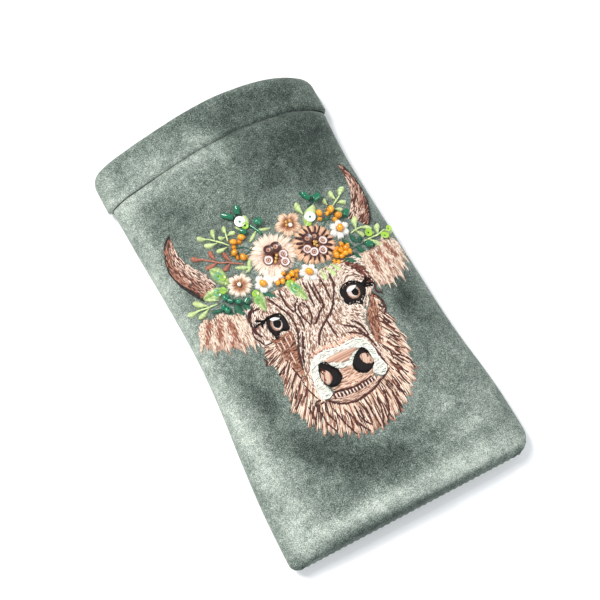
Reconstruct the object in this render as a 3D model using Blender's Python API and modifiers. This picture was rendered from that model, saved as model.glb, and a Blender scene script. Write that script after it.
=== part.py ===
"""A soft velvet pouch for a pair of glasses, lying on its back.

+X runs across the pouch, +Y from the bottom seam to the mouth and +Z up, in metres. The
origin is under the middle of the pouch, on the surface that it lies on. Front and back are
two padded, lined half shells that meet at a seam. Each has a casing at the mouth with a
leaf spring in it, and the front one carries the embroidery: a cow's head with a crown of
flowers, beads and sequins.
"""

from math import ceil, cos, hypot, pi, radians, sin, sqrt

import bmesh
import bpy
from mathutils import Vector

MM = 0.001

# Driving dimensions of the pouch
LENGTH = 178 * MM  # bottom seam to the middle of the mouth
WAIST_HALF = 45.3 * MM
WAIST_Y = 38 * MM
BOTTOM_FLARE = 5.7 * MM
MOUTH_FLARE = 2.2 * MM
CASING_STEP = 1.6 * MM  # the casing is this much wider each side than the panel under it
CORNER_RADIUS = 5 * MM
LIP_ARCH = 4.5 * MM  # the lip's middle stands this far past its ends
CASING_HEIGHT = 16.5 * MM

SEAM_Z = 6.5 * MM  # height of the plane where front and back meet
SEAM_GAP = 0.9 * MM
FRONT_DEPTH = 12.5 * MM
FRONT_DEPTH_DROP = 2.5 * MM  # the front is this much flatter at its bottom end
BACK_DEPTH = SEAM_Z
END_ROUND = 15 * MM  # how far the bottom end takes to reach full depth
SECTION_POWER = {1: 2.4, -1: 5.0}  # superellipse powers of the front and the back
FLAT_SHARE = 1.03  # the back is cut off flat at 1 / this share of its depth

# Layers of each wall: how deep each lies under the outer face, and how thick it is
VELVET = 1.2 * MM
LAYERS = {
    "embroidery_backing": (1.6 * MM, 0.2 * MM),
    "padding": (2.15 * MM, 1.15 * MM),
    "lining": (4.1 * MM, 0.35 * MM),
}
BACKING_Y = (-62 * MM, 54 * MM)

CASING_WALL = 1.1 * MM
FOLD_RADIUS = 2.2 * MM
LEAF_THICKNESS = 0.4 * MM
LEAF_WIDTH = 11 * MM
LEAF_DEPTH = 1.8 * MM
LEAF_SHARE = 0.86  # of the casing's half width
CAP_SHARES = (0.868, 0.93)
CAP_THICKNESS = 1.0 * MM
THREAD_RADIUS = 0.17 * MM

# Embroidery, which stands on the velvet
STITCH_THICKNESS = 0.6 * MM
STITCH_STAND = 1.0 * MM  # its top stands this far off the velvet
STITCH_GAP = 0.35 * MM
BEAD_STAND = 1.45 * MM  # beads and sequins sit this far off the velvet
SEQUIN_THICKNESS = 0.35 * MM

COLUMNS = 14
SKIRT = 2 * MM  # each half shell is made this much too deep, then cut at the seam

BOTTOM_Y = -LENGTH / 2
LIP_Y = LENGTH / 2

COLOURS = {
    "velvet": ((0.19, 0.24, 0.225), 0.9, 0.0),
    "lining": ((0.32, 0.36, 0.35), 0.6, 0.0),
    "padding": ((0.85, 0.85, 0.82), 0.95, 0.0),
    "backing": ((0.9, 0.9, 0.88), 0.9, 0.0),
    "spring_steel": ((0.6, 0.61, 0.63), 0.3, 1.0),
    "end_cap": ((0.03, 0.03, 0.03), 0.5, 0.0),
    "seam_thread": ((0.25, 0.3, 0.28), 0.7, 0.0),
    "thread_pink": ((0.72, 0.46, 0.36), 0.55, 0.0),
    "thread_brown": ((0.4, 0.17, 0.11), 0.55, 0.0),
    "thread_white": ((0.86, 0.84, 0.79), 0.55, 0.0),
    "thread_black": ((0.01, 0.01, 0.01), 0.5, 0.0),
    "thread_peach": ((0.78, 0.5, 0.32), 0.55, 0.0),
    "thread_leaf": ((0.5, 0.66, 0.3), 0.55, 0.0),
    "bead_amber": ((0.75, 0.33, 0.01), 0.2, 0.0),
    "bead_green": ((0.0, 0.2, 0.1), 0.12, 0.0),
    "sequin_pearl": ((0.85, 0.8, 0.78), 0.15, 0.2),
}


# ---------------------------------------------------------------- scene and materials


def clear_scene():
    for obj in list(bpy.data.objects):
        bpy.data.objects.remove(obj)


def new_collection(name):
    collection = bpy.data.collections.new(name)
    bpy.context.scene.collection.children.link(collection)
    return collection


def material(name):
    found = bpy.data.materials.get(name)
    if found:
        return found
    colour, roughness, metallic = COLOURS[name]
    made = bpy.data.materials.new(name)
    made.use_nodes = True
    shader = made.node_tree.nodes["Principled BSDF"]
    shader.inputs["Base Color"].default_value = (*colour, 1)
    shader.inputs["Roughness"].default_value = roughness
    shader.inputs["Metallic"].default_value = metallic
    made.diffuse_color = (*colour, 1)
    return made


def add_object(name, data, slot=None):
    """Puts data in the scene as a part, or as a cutter when it has no material slot."""
    obj = bpy.data.objects.new(name, data)
    (PARTS if slot else CUTTERS).objects.link(obj)
    if slot:
        data.materials.append(material(slot))
    else:
        obj.hide_render = True
        obj.display_type = "WIRE"
    return obj


def mesh_from(bm, name):
    data = bpy.data.meshes.new(name)
    bm.to_mesh(data)
    bm.free()
    return data


def apply_modifiers(obj):
    """Bakes an object's modifiers into its mesh, so that it can be cut or joined again."""
    bpy.context.view_layer.update()
    graph = bpy.context.evaluated_depsgraph_get()
    baked = bpy.data.meshes.new_from_object(obj.evaluated_get(graph))
    obj.modifiers.clear()
    obj.data = baked


def boolean(obj, other, operation):
    cut = obj.modifiers.new(operation.title(), "BOOLEAN")
    cut.operation = operation
    cut.object = other
    cut.solver = "EXACT"


# ---------------------------------------------------------------- the pouch's surfaces


def edge_half_width(y):
    """Half the pouch's width at y: a waist, flared to the bottom and a little to the mouth."""
    if y < WAIST_Y:
        return WAIST_HALF + BOTTOM_FLARE * ((WAIST_Y - y) / (WAIST_Y - BOTTOM_Y)) ** 1.6
    top = seam_line_y(1)
    return WAIST_HALF + MOUTH_FLARE * min(1, (y - WAIST_Y) / (top - WAIST_Y)) ** 2


def lip_line_y(u):
    return LIP_Y - LIP_ARCH * (1 - cos(pi * u)) / 2


def seam_line_y(u):
    """Where the casing is sewn to the panel, u from -1 to 1 across the pouch."""
    return lip_line_y(u) - CASING_HEIGHT


def rounded_corner(y, inset):
    """How far the plan outline is drawn in near the bottom corners."""
    radius = CORNER_RADIUS - inset * 0.5
    rise = y - (BOTTOM_Y + inset)
    if rise >= radius:
        return 0
    rise = max(rise, 0)
    return radius - sqrt(max(0, radius**2 - (radius - rise) ** 2))


def end_rise(y, inset, side):
    """Share of full depth at y: an elliptical rise from the bottom seam."""
    reach = END_ROUND - inset
    run = min(max(y - (BOTTOM_Y + inset), 0) / reach, 1)
    rise = sqrt(1 - (1 - run) ** 2)
    return rise if side > 0 else min(1, FLAT_SHARE * rise)


def section(u, side):
    """Share of full depth across the pouch: a superellipse, cut off flat on the back."""
    power = SECTION_POWER[side]
    share = max(0, 1 - abs(u) ** power) ** (1 / power)
    return share if side > 0 else min(1, FLAT_SHARE * share)


def surface_point(u, y, side, inset=0, widen=0):
    """A point on the front (side 1) or back (side -1), inset under the outer face."""
    if side > 0:
        slack = ((LIP_Y - y) / LENGTH) ** 1.5 if y < LIP_Y else 0
        depth = FRONT_DEPTH - FRONT_DEPTH_DROP * slack
    else:
        depth = BACK_DEPTH
    half = edge_half_width(y) + widen - inset - rounded_corner(y, inset)
    depth = (depth - inset) * end_rise(y, inset, side) * section(u, side)
    return Vector((half * u, y, SEAM_Z + side * depth))


def across():
    """Values of u from edge to edge, closer together near the edges."""
    return [sin(pi * (i / COLUMNS - 0.5)) for i in range(COLUMNS + 1)]


def grid_mesh(name, rows, flip):
    """An open mesh from rows of points. Neighbouring points that coincide are merged."""
    bm = bmesh.new()
    verts = [[bm.verts.new(p) for p in row] for row in rows]
    for low, high in zip(verts, verts[1:]):
        for i in range(len(low) - 1):
            corners = (low[i], low[i + 1], high[i + 1], high[i])
            bm.faces.new(corners[::-1] if flip else corners)
    bmesh.ops.remove_doubles(bm, verts=bm.verts, dist=0.01 * MM)
    return mesh_from(bm, name)


def with_skirt(row, side):
    """Carries a row of surface points past the seam plane at both ends."""
    drop = Vector((0, 0, -side * SKIRT))
    return [row[0] + drop, *row, row[-1] + drop]


def solidify(obj, thickness):
    shell = obj.modifiers.new("Solidify", "SOLIDIFY")
    shell.thickness = thickness
    shell.offset = -1


def cut_at_seam(obj, side):
    """Removes what lies past the seam plane, and half the seam's gap."""
    boolean(obj, SEAM_CUTTERS[side], "DIFFERENCE")


def seam_cutter(side):
    bm = bmesh.new()
    bmesh.ops.create_cube(bm, size=1)
    size = Vector((0.2, 0.3, 0.05))
    top = SEAM_Z + side * (SEAM_GAP / 2 - size.z / 2)
    for vert in bm.verts:
        vert.co = Vector(vert.co[i] * size[i] for i in range(3)) + Vector((0, 0, top))
    return add_object(f"cutter_seam_{side}", mesh_from(bm, "seam"))


def panel_rows(side, inset, stop_gap):
    """Rows of a half shell, from the bottom seam to just short of the casing."""
    near_end = [0, 0.5, 2, 5, 10]
    start = near_end[-1] * MM
    steps = 8
    rows = []
    for step in range(len(near_end) + steps):
        row = []
        for u in across():
            last = seam_line_y(u) - stop_gap
            low = BOTTOM_Y + inset
            if step < len(near_end):
                y = low + near_end[step] * MM
            else:
                share = (step - len(near_end) + 1) / steps
                y = low + start + share * (last - low - start)
            row.append(surface_point(u, y, side, inset))
        rows.append(with_skirt(row, side))
    bottom = [p + Vector((0, 0, -side * SKIRT)) for p in rows[0][1:-1]]
    return [[bottom[0], *bottom, bottom[-1]], *rows]


def half_shell(name, side, inset, thickness, slot):
    """One soft layer of the front or back, open at the mouth."""
    rows = panel_rows(side, inset, SEAM_GAP / 2)
    obj = add_object(name, grid_mesh(name, rows, flip=side < 0), slot)
    solidify(obj, thickness)
    cut_at_seam(obj, side)
    return obj


def casing(name, side):
    """The folded hem at the mouth: out over the spring, round the lip and back inside."""
    depth = 2 * FOLD_RADIUS
    fold_steps = 5
    rows = []
    for inset, share in ((0, 0), (0, 0.5), (0, 1)):
        rows.append(casing_row(side, inset, share, 0))
    for step in range(1, fold_steps):
        turn = pi * step / fold_steps
        inset = FOLD_RADIUS * (1 - cos(turn))
        rows.append(casing_row(side, inset, 1, FOLD_RADIUS * sin(turn)))
    for inset, share in ((depth, 1), (depth, 0.5), (depth, 0)):
        rows.append(casing_row(side, inset, share, 0))
    obj = add_object(name, grid_mesh(name, rows, flip=side < 0), "velvet")
    solidify(obj, CASING_WALL)
    cut_at_seam(obj, side)
    return obj


def casing_row(side, inset, share, past):
    row = []
    for u in across():
        start = seam_line_y(u) + SEAM_GAP / 2
        end = lip_line_y(u) - FOLD_RADIUS
        y = start + share * (end - start) + past
        row.append(surface_point(u, y, side, inset, CASING_STEP))
    return with_skirt(row, side)


def strip(name, side, shares, inset, thickness, slot):
    """A strip inside the casing, following it from share to share of its half width."""
    low, high = shares
    steps = max(2, ceil((high - low) * 9))
    rows = []
    for j in range(4):
        row = []
        for i in range(steps + 1):
            u = low + (high - low) * i / steps
            y = seam_line_y(u) + 1.6 * MM + LEAF_WIDTH * j / 3
            row.append(surface_point(u, y, side, inset, CASING_STEP))
        rows.append(row)
    obj = add_object(name, grid_mesh(name, rows, flip=side < 0), slot)
    solidify(obj, thickness)
    return obj


def thread_tube(name, points, radius, slot):
    curve = bpy.data.curves.new(name, "CURVE")
    curve.dimensions = "3D"
    curve.bevel_depth = radius
    curve.bevel_resolution = 0
    curve.use_fill_caps = True
    spline = curve.splines.new("POLY")
    spline.points.add(len(points) - 1)
    for point, place in zip(spline.points, points):
        point.co = (*place, 1)
    return add_object(name, curve, slot)


def casing_thread(name, side):
    """The line of stitching along the casing, in its groove."""
    ends = 0.93
    steps = 22
    points = []
    for i in range(steps + 1):
        u = ends * (2 * i / steps - 1)
        points.append(surface_point(u, seam_line_y(u), side, VELVET / 2))
    return thread_tube(name, points, THREAD_RADIUS, "seam_thread")


def perimeter_thread():
    """The thread that joins front to back down one side, along the bottom and up again."""
    inset = VELVET / 2
    left = []
    steps = 16
    for i in range(steps + 1):
        y = seam_line_y(1) - MM - (seam_line_y(1) - BOTTOM_Y - CORNER_RADIUS) * i / steps
        left.append((-edge_half_width(y) + inset, y))
    corner = edge_half_width(BOTTOM_Y) - CORNER_RADIUS
    for i in range(1, 5):
        turn = pi / 2 * i / 4
        radius = CORNER_RADIUS - inset
        x = -corner - radius * cos(turn)
        left.append((x, BOTTOM_Y + CORNER_RADIUS - radius * sin(turn)))
    outline = left + [(-x, y) for x, y in reversed(left)]
    points = [Vector((x, y, SEAM_Z)) for x, y in outline]
    return thread_tube("perimeter_seam_thread", points, THREAD_RADIUS, "seam_thread")


def structure():
    sides = {"front": 1, "back": -1}
    for word, side in sides.items():
        half_shell(f"{word}_panel", side, 0, VELVET, "velvet")
        half_shell(f"{word}_padding", side, *LAYERS["padding"], "padding")
        half_shell(f"{word}_lining", side, *LAYERS["lining"], "lining")
        casing(f"{word}_casing", side)
        leaf = (-LEAF_SHARE, LEAF_SHARE)
        strip(f"{word}_spring_leaf", side, leaf, LEAF_DEPTH, LEAF_THICKNESS, "spring_steel")
        low, high = CAP_SHARES
        for end, shares in (("left", (-high, -low)), ("right", (low, high))):
            name = f"{word}_leaf_cap_{end}"
            strip(name, side, shares, LEAF_DEPTH - 0.2 * MM, CAP_THICKNESS, "end_cap")
        casing_thread(f"{word}_casing_thread", side)
    embroidery_backing()
    perimeter_thread()


def embroidery_backing():
    """The woven stabiliser behind the stitches, between the velvet and the padding."""
    inset, thickness = LAYERS["embroidery_backing"]
    rows = []
    steps = 7
    for j in range(steps + 1):
        y = BACKING_Y[0] + (BACKING_Y[1] - BACKING_Y[0]) * j / steps
        rows.append([surface_point(u, y, 1, inset) for u in across()[1:-1]])
    name = "embroidery_backing"
    obj = add_object(name, grid_mesh(name, rows, flip=False), "backing")
    solidify(obj, thickness)


# ---------------------------------------------------------------- outlines, in millimetres


def smooth(points, per_span=2):
    """A closed Catmull-Rom curve through an outline's points."""
    made = []
    count = len(points)
    for i in range(count):
        p = [Vector(points[(i + k - 1) % count]) for k in range(4)]
        for step in range(per_span):
            t = step / per_span
            made.append(
                0.5
                * (
                    2 * p[1]
                    + (p[2] - p[0]) * t
                    + (2 * p[0] - 5 * p[1] + 4 * p[2] - p[3]) * t**2
                    + (3 * p[1] - 3 * p[2] + p[3] - p[0]) * t**3
                )
            )
    return made


def ellipse(x, y, half_long, half_short, angle=0, count=16, point=0):
    """An ellipse, or with point over 0 a leaf that narrows to both its ends."""
    turn = radians(angle)
    made = []
    for i in range(count):
        a = 2 * pi * i / count
        along = half_long * cos(a)
        beside = half_short * sin(a) * (1 - point * cos(a) ** 2)
        made.append(
            Vector(
                (x + along * cos(turn) - beside * sin(turn),
                 y + along * sin(turn) + beside * cos(turn))
            )
        )
    return made


def flower(x, y, radius, petals, notch, angle=0):
    """A flower's outline, its edge drawn in by notch between petals."""
    count = petals * (6 if petals < 9 else 2)
    made = []
    for i in range(count):
        a = 2 * pi * i / count
        r = radius * (1 - notch * (0.5 - 0.5 * cos(petals * a)))
        made.append(Vector((x + r * cos(a + radians(angle)), y + r * sin(a + radians(angle)))))
    return made


def stem(points, half_width):
    """A narrow strip along a line of points."""
    left, right = [], []
    for i, point in enumerate(points):
        before = Vector(points[max(0, i - 1)])
        after = Vector(points[min(len(points) - 1, i + 1)])
        along = (after - before).normalized()
        normal = Vector((-along.y, along.x)) * half_width
        left.append(Vector(point) + normal)
        right.append(Vector(point) - normal)
    return left + right[::-1]


HEAD = {
    "left_eye": (ellipse(-15.7, -3.2, 4.3, 3.9), "thread_black"),
    "right_eye": (ellipse(15.8, -4.6, 4.7, 4.2), "thread_black"),
    "left_nostril": (ellipse(-7, -29.2, 4.6, 3.2, 105), "thread_black"),
    "right_nostril": (ellipse(6.2, -29.8, 4.6, 3.3, 70), "thread_black"),
    "nose_pad": (
        smooth([(-9.2, -34.5), (-10.4, -29), (-9.6, -25), (-5, -23.6), (0, -24), (6, -24.1),
                (9.7, -26), (9.9, -30), (8.4, -34.6), (0, -36.7)]),
        "thread_pink",
    ),
    "muzzle_surround": (
        smooth([(-14.6, -34.5), (-14, -29), (-12.9, -25), (-10, -21), (-5, -20.3), (0, -21),
                (5, -21.1), (9, -21), (11.8, -24), (12.8, -29), (13.6, -34.5), (12.4, -37.3),
                (9.6, -37.4), (8.6, -35.6), (0, -37.4), (-9.5, -35.6), (-10.2, -36.4),
                (-12.5, -36.6)]),
        "thread_white",
    ),
    "lower_lip": (
        smooth([(-11.8, -37.6), (-9.8, -36.8), (0, -38), (8.6, -36.6), (9.6, -38.4),
                (5, -40.9), (0, -41.8), (-5, -41.3), (-9, -39.8)]),
        "thread_pink",
    ),
    "left_cheek": (
        smooth([(-21.5, -8.3), (-12.3, -8.5), (-12.5, -11.8), (-14.9, -18), (-15.4, -25),
                (-17.5, -27), (-19, -20), (-20.6, -13)]),
        "thread_brown",
    ),
    "right_cheek": (
        smooth([(21.3, -10.6), (24.3, -12), (23.3, -16), (20.5, -20), (18.5, -26),
                (15.4, -27.5), (14.1, -21.5), (14.8, -17.2), (17.2, -13.2)]),
        "thread_brown",
    ),
    "face": (
        smooth([(-25, 1), (-22.5, 6), (-15, 7.5), (-5, 8.3), (6, 8.2), (15, 7.5), (20, 6),
                (24.3, 1), (24.8, -5), (21, -9.8), (16.5, -12.5), (14, -17), (12.8, -21),
                (9, -19.9), (0, -19.8), (-9, -19.4), (-12.8, -21.5), (-14.6, -24.5),
                (-14, -18), (-11.6, -11.5), (-11.5, -7.9), (-21.3, -7.6), (-24.5, -5)], 2),
        "thread_pink",
    ),
    "left_ear": (
        smooth([(-44, 3), (-43, 8), (-40, 12), (-35, 10.5), (-30, 10), (-27, 6.5),
                (-26, 1.5), (-26.2, -3), (-27.5, -8.4), (-31, -6.5), (-34.5, -5),
                (-38.5, -2.5), (-42, 1)], 2),
        "thread_pink",
    ),
    "right_ear": (
        smooth([(26, 8), (31, 9.5), (36, 10), (41, 9), (42.6, 4), (42.9, -1.5), (40, -6),
                (37, -9), (32, -8.5), (28, -7), (26.2, -2), (25.5, 4)], 2),
        "thread_pink",
    ),
    "left_horn": (
        smooth([(-35.5, 18.5), (-39.5, 25), (-41.7, 33), (-41.3, 39), (-39.5, 43.5),
                (-36, 46.6), (-36.2, 40), (-34.5, 33), (-31, 27), (-28.6, 21.5), (-31, 20.4)], 2),
        "thread_brown",
    ),
    "right_horn": (
        smooth([(35.5, 17.5), (38.5, 22.5), (40.5, 29), (40.2, 36), (39, 41), (37.3, 45.3),
                (36.8, 40), (36, 34), (33, 28.5), (29, 22.6), (32, 20)], 2),
        "thread_brown",
    ),
    "beard": (
        smooth([(-22.5, -8.5), (-25.5, -14), (-25, -20), (-26, -27), (-26.3, -35), (-23.5, -43),
                (-15, -51), (-5, -56), (1, -57), (9, -54.5), (17, -50.5), (23, -43),
                (25.5, -34), (25.3, -27), (24.3, -20), (24.8, -15), (24, -17), (21, -21),
                (19, -28), (15, -30), (14.7, -36.5), (11, -39.8), (5, -42.3), (-4, -42.8),
                (-10, -40.8), (-15.3, -36.5), (-15.8, -28), (-18.5, -28), (-20, -21),
                (-21.5, -13)], 2),
        "thread_pink",
    ),
}

FLOWERS = {
    "daisy_left": (flower(-12.8, 13.3, 4.0, 5, 0.3, 90), "thread_white"),
    "daisy_centre": (flower(4.7, 9.7, 3.9, 5, 0.3, 70), "thread_white"),
    "daisy_right": (flower(23.6, 20.2, 4.2, 5, 0.3, 110), "thread_white"),
    "small_blossom_top": (flower(6.8, 30.3, 5.2, 5, 0.25, 95), "thread_peach"),
    "small_blossom_left": (flower(-21, 17, 5.2, 8, 0.18), "thread_peach"),
    "blossom_left": (flower(-4.5, 21.5, 8.7, 16, 0.07), "thread_white"),
    "blossom_right": (flower(12, 19, 8.4, 16, 0.07), "thread_peach"),
}

LEAVES = {
    "leaf_upper_left": (ellipse(-26.3, 23.4, 4.8, 2.4, -65, point=0.4), "thread_leaf"),
    "leaf_left": (ellipse(-30.8, 17.9, 4.9, 2.4, 4, point=0.4), "thread_leaf"),
    "leaf_brow_left": (ellipse(-17.4, 8.4, 4.1, 2.4, 95, point=0.4), "thread_leaf"),
    "leaf_brow_centre": (ellipse(-3.4, 4.4, 4.5, 2.6, -58, point=0.4), "thread_leaf"),
}

# Each sprig: its stem, its leaves as (x, y, half length, half width, angle), its thread
SPRIGS = {
    "sprig_upper_left": (
        [(-18, 32.6), (-20, 35), (-22.5, 37.5), (-25.8, 40.2)],
        [(-25.3, 39.9, 1.9, 1, -40), (-23.3, 36.2, 1.9, 0.9, -20), (-21, 38.9, 2.3, 0.9, 75)],
        "thread_leaf",
    ),
    "sprig_brown": (
        [(-17, 24.3), (-20, 26), (-24.5, 28.2), (-29, 31.8), (-31, 34)],
        [(-30.8, 33.6, 2, 1, -50), (-25.2, 31.3, 2.4, 1, -70), (-27, 28.6, 2.2, 0.9, 10),
         (-20.4, 28.3, 2.2, 0.9, -75), (-21.7, 25.4, 2.1, 0.9, 30)],
        "thread_brown",
    ),
    "sprig_lower_left": (
        [(-33, 14.7), (-37, 14.9), (-41.5, 15.8)],
        [(-40.5, 15.7, 2, 0.9, -10), (-36.8, 16.9, 2.5, 0.9, -40), (-37, 13.3, 2.3, 0.9, 20)],
        "thread_leaf",
    ),
    "sprig_upper_right": (
        [(25.6, 30.6), (28.5, 32.2), (32.3, 34.6)],
        [(31.8, 34.3, 2.2, 1, 40), (27.6, 33.4, 2, 1, 100), (29.3, 30.9, 1.8, 1, -15)],
        "thread_leaf",
    ),
    "sprig_right": (
        [(31.5, 11.9), (35.5, 12.2), (40.4, 13.1)],
        [(40.2, 13, 1.7, 1.2, 10), (37.7, 14, 2.4, 1, 65), (34.5, 10.9, 2, 0.9, -35)],
        "thread_leaf",
    ),
}

# Beads and sequins by group: places in millimetres, radius and material
BEAD_GROUPS = {
    "amber_beads_upper_left": (
        [(-12.2, 33), (-15.6, 33), (-17.3, 29.2), (-15.2, 25.7)], 1.3, "bead_amber"),
    "amber_beads_centre": (
        [(-12.8, 13.3), (-8.4, 10.8), (-5.6, 10.5), (-3.2, 11.6), (-0.6, 11), (4.7, 9.7)], 1.2,
        "bead_amber"),
    "amber_beads_right": (
        [(16.3, 11.2), (18.9, 10.2), (21.7, 10.6), (20.2, 13.1)], 1.25, "bead_amber"),
    "amber_beads_upper_right": (
        [(19.2, 28.8), (24, 28.8), (26, 25.2), (23.6, 20.2)], 1.3, "bead_amber"),
    "green_beads_top": ([(-12.8, 42.6), (-9, 43.2)], 1.2, "bead_green"),
    "green_beads_lower_left": (
        [(-29.5, 10.5), (-27.7, 13), (-25, 11.9), (-22.3, 10.3)], 1.1, "bead_green"),
    "green_beads_upper_right": ([(18.1, 37.2), (21.5, 34.9)], 1.3, "bead_green"),
}

SEQUIN_GROUPS = {
    "sequins_blossom_left": (
        [(-5.7, 23.7), (-2.1, 23.7), (-0.7, 20.6), (-3, 18), (-6.9, 20)], 1.6, "sequin_pearl"),
    "sequins_blossom_right": (
        [(10.1, 21.7), (13.7, 21.4), (15.6, 18.4), (13.6, 15.4), (10.1, 15.6), (8.2, 18.6)], 1.6,
        "sequin_pearl"),
    "sequin_top": ([(-9.4, 39.3)], 2.0, "sequin_pearl"),
    "sequin_upper_right": ([(15.6, 29.4)], 2.0, "sequin_pearl"),
}


# ---------------------------------------------------------------- embroidery solids


def front_at(x, y, stand=0):
    """The front's outer face over a point in millimetres, raised by stand."""
    y = y * MM
    half = edge_half_width(y) + stand - rounded_corner(y, 0)
    return surface_point(x * MM / half, y, 1, -stand)


def stitch_slab():
    """A thin shell that stands off the whole front, from which each patch is cut."""
    rows = []
    steps = 14
    low, high = -66 * MM, 58 * MM
    for j in range(steps + 1):
        y = low + (high - low) * j / steps
        row = []
        for u in across():
            row.append(surface_point(0.965 * u, y, 1, -STITCH_STAND))
        rows.append(row)
    slab = add_object("cutter_stitch_slab", grid_mesh("slab", rows, flip=False))
    solidify(slab, STITCH_THICKNESS)
    apply_modifiers(slab)
    return slab


def offset_outline(outline, distance):
    """An outline moved outwards along its normals. Outlines may run either way round."""
    count = len(outline)
    area = sum(
        outline[i - 1].x * outline[i].y - outline[i].x * outline[i - 1].y for i in range(count)
    )
    way = distance if area > 0 else -distance
    made = []
    for i in range(count):
        along = outline[(i + 1) % count] - outline[i - 1]
        size = hypot(along.x, along.y) or 1
        made.append(outline[i] + Vector((along.y, -along.x)) * (way / size))
    return made


def prism(name, outline):
    """An upright prism over an outline, tall enough to pass through the stitch slab."""
    curve = bpy.data.curves.new(name, "CURVE")
    curve.dimensions = "2D"
    curve.fill_mode = "BOTH"
    curve.extrude = 15 * MM
    spline = curve.splines.new("POLY")
    spline.points.add(len(outline) - 1)
    for point, place in zip(spline.points, outline):
        point.co = (place.x * MM, place.y * MM, 0, 1)
    spline.use_cyclic_u = True
    flat = bpy.data.objects.new(name, curve)
    flat.location.z = 15 * MM
    bpy.context.scene.collection.objects.link(flat)
    bpy.context.view_layer.update()
    graph = bpy.context.evaluated_depsgraph_get()
    data = bpy.data.meshes.new_from_object(flat.evaluated_get(graph))
    data.transform(flat.matrix_world)
    bpy.data.objects.remove(flat)
    bm = bmesh.new()
    bm.from_mesh(data)
    bmesh.ops.remove_doubles(bm, verts=bm.verts, dist=0.001 * MM)
    bmesh.ops.recalc_face_normals(bm, faces=bm.faces)
    return add_object(name, mesh_from(bm, name))


def near(first, second):
    """True when two outlines' boxes come within reach of each other."""
    def box(points):
        xs = [p.x for p in points]
        ys = [p.y for p in points]
        return min(xs) - 1, min(ys) - 1, max(xs) + 1, max(ys) + 1

    a, b = box(first), box(second)
    return a[0] < b[2] and b[0] < a[2] and a[1] < b[3] and b[1] < a[3]


def stitch_patch(name, outlines, slot, slab, taken):
    """A patch of stitches: its outlines' union cut from the slab, clear of earlier ones."""
    patch = prism(f"cutter_{name}", outlines[0])
    for i, other in enumerate(outlines[1:]):
        boolean(patch, prism(f"cutter_{name}_{i}", other), "UNION")
    apply_modifiers(patch)
    obj = add_object(name, slab.data.copy(), slot)
    boolean(obj, patch, "INTERSECT")
    for i, (_, earlier) in enumerate(taken):
        if any(near(outline, earlier) for outline in outlines):
            cutter = prism(f"cutter_{name}_off_{i}", offset_outline(earlier, STITCH_GAP / MM))
            boolean(obj, cutter, "DIFFERENCE")
    apply_modifiers(obj)
    drop_loose_scraps(obj)
    taken.extend((name, outline) for outline in outlines)


def drop_loose_scraps(obj):
    """Keeps the largest body of a patch that its neighbours have cut through."""
    bm = bmesh.new()
    bm.from_mesh(obj.data)
    left = set(bm.verts)
    bodies = []
    while left:
        edge = [left.pop()]
        body = set(edge)
        while edge:
            for link in edge.pop().link_edges:
                for vert in link.verts:
                    if vert in left:
                        left.remove(vert)
                        body.add(vert)
                        edge.append(vert)
        bodies.append(body)
    keep = max(bodies, key=lambda body: len(body))
    bmesh.ops.delete(bm, geom=[v for v in bm.verts if v not in keep], context="VERTS")
    bm.to_mesh(obj.data)
    bm.free()


def frame_on_front(x, y, stand):
    """Place and turn of something that sits flat on the front at x, y."""
    here = front_at(x, y, stand)
    step = 0.5
    across_x = front_at(x + step, y, stand) - front_at(x - step, y, stand)
    along_y = front_at(x, y + step, stand) - front_at(x, y - step, stand)
    normal = across_x.cross(along_y).normalized()
    return here, normal.to_track_quat("Z", "Y")


def bead(name, x, y, radius):
    place, turn = frame_on_front(x, y, BEAD_STAND + radius * MM)
    bm = bmesh.new()
    bmesh.ops.create_uvsphere(bm, u_segments=8, v_segments=4, radius=radius * MM)
    obj = add_object(name, mesh_from(bm, name))
    obj.data.transform(turn.to_matrix().to_4x4())
    obj.location = place
    return obj


def sequin(name, x, y, radius):
    place, turn = frame_on_front(x, y, BEAD_STAND + SEQUIN_THICKNESS / 2)
    bm = bmesh.new()
    bmesh.ops.create_cone(
        bm, cap_ends=True, segments=10, radius1=radius * MM, radius2=radius * 0.8 * MM,
        depth=SEQUIN_THICKNESS)
    obj = add_object(name, mesh_from(bm, name))
    obj.data.transform(turn.to_matrix().to_4x4())
    obj.location = place
    return obj


def joining_thread(name, places, stand, radius):
    """The thread that beads or sequins of one group are sewn on with."""
    points = []
    for (x0, y0), (x1, y1) in zip(places, places[1:]):
        for step in range(3):
            t = step / 3
            points.append(front_at(x0 + (x1 - x0) * t, y0 + (y1 - y0) * t, stand))
    points.append(front_at(*places[-1], stand))
    tube = thread_tube(name, points, radius, None)
    bpy.context.view_layer.update()
    graph = bpy.context.evaluated_depsgraph_get()
    data = bpy.data.meshes.new_from_object(tube.evaluated_get(graph))
    bpy.data.objects.remove(tube)
    bm = bmesh.new()
    bm.from_mesh(data)
    bmesh.ops.remove_doubles(bm, verts=bm.verts, dist=0.001 * MM)
    bmesh.ops.recalc_face_normals(bm, faces=bm.faces)
    return add_object(name, mesh_from(bm, name))


def sewn_group(name, places, radius, slot, maker):
    """Beads or sequins with the thread between them, as one body."""
    units = [maker(f"cutter_{name}_{i}", x, y, radius) for i, (x, y) in enumerate(places)]
    first = units[0]
    if len(places) > 1:
        height = BEAD_STAND + (radius * MM if maker is bead else SEQUIN_THICKNESS / 2)
        thickness = 0.4 * MM if maker is bead else 0.15 * MM
        thread = joining_thread(f"cutter_{name}_thread", places, height, thickness)
        for other in [*units[1:], thread]:
            boolean(first, other, "UNION")
    apply_modifiers(first)
    first.data.transform(first.matrix_world)
    obj = add_object(name, first.data.copy(), slot)
    obj.data.materials.clear()
    obj.data.materials.append(material(slot))


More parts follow.
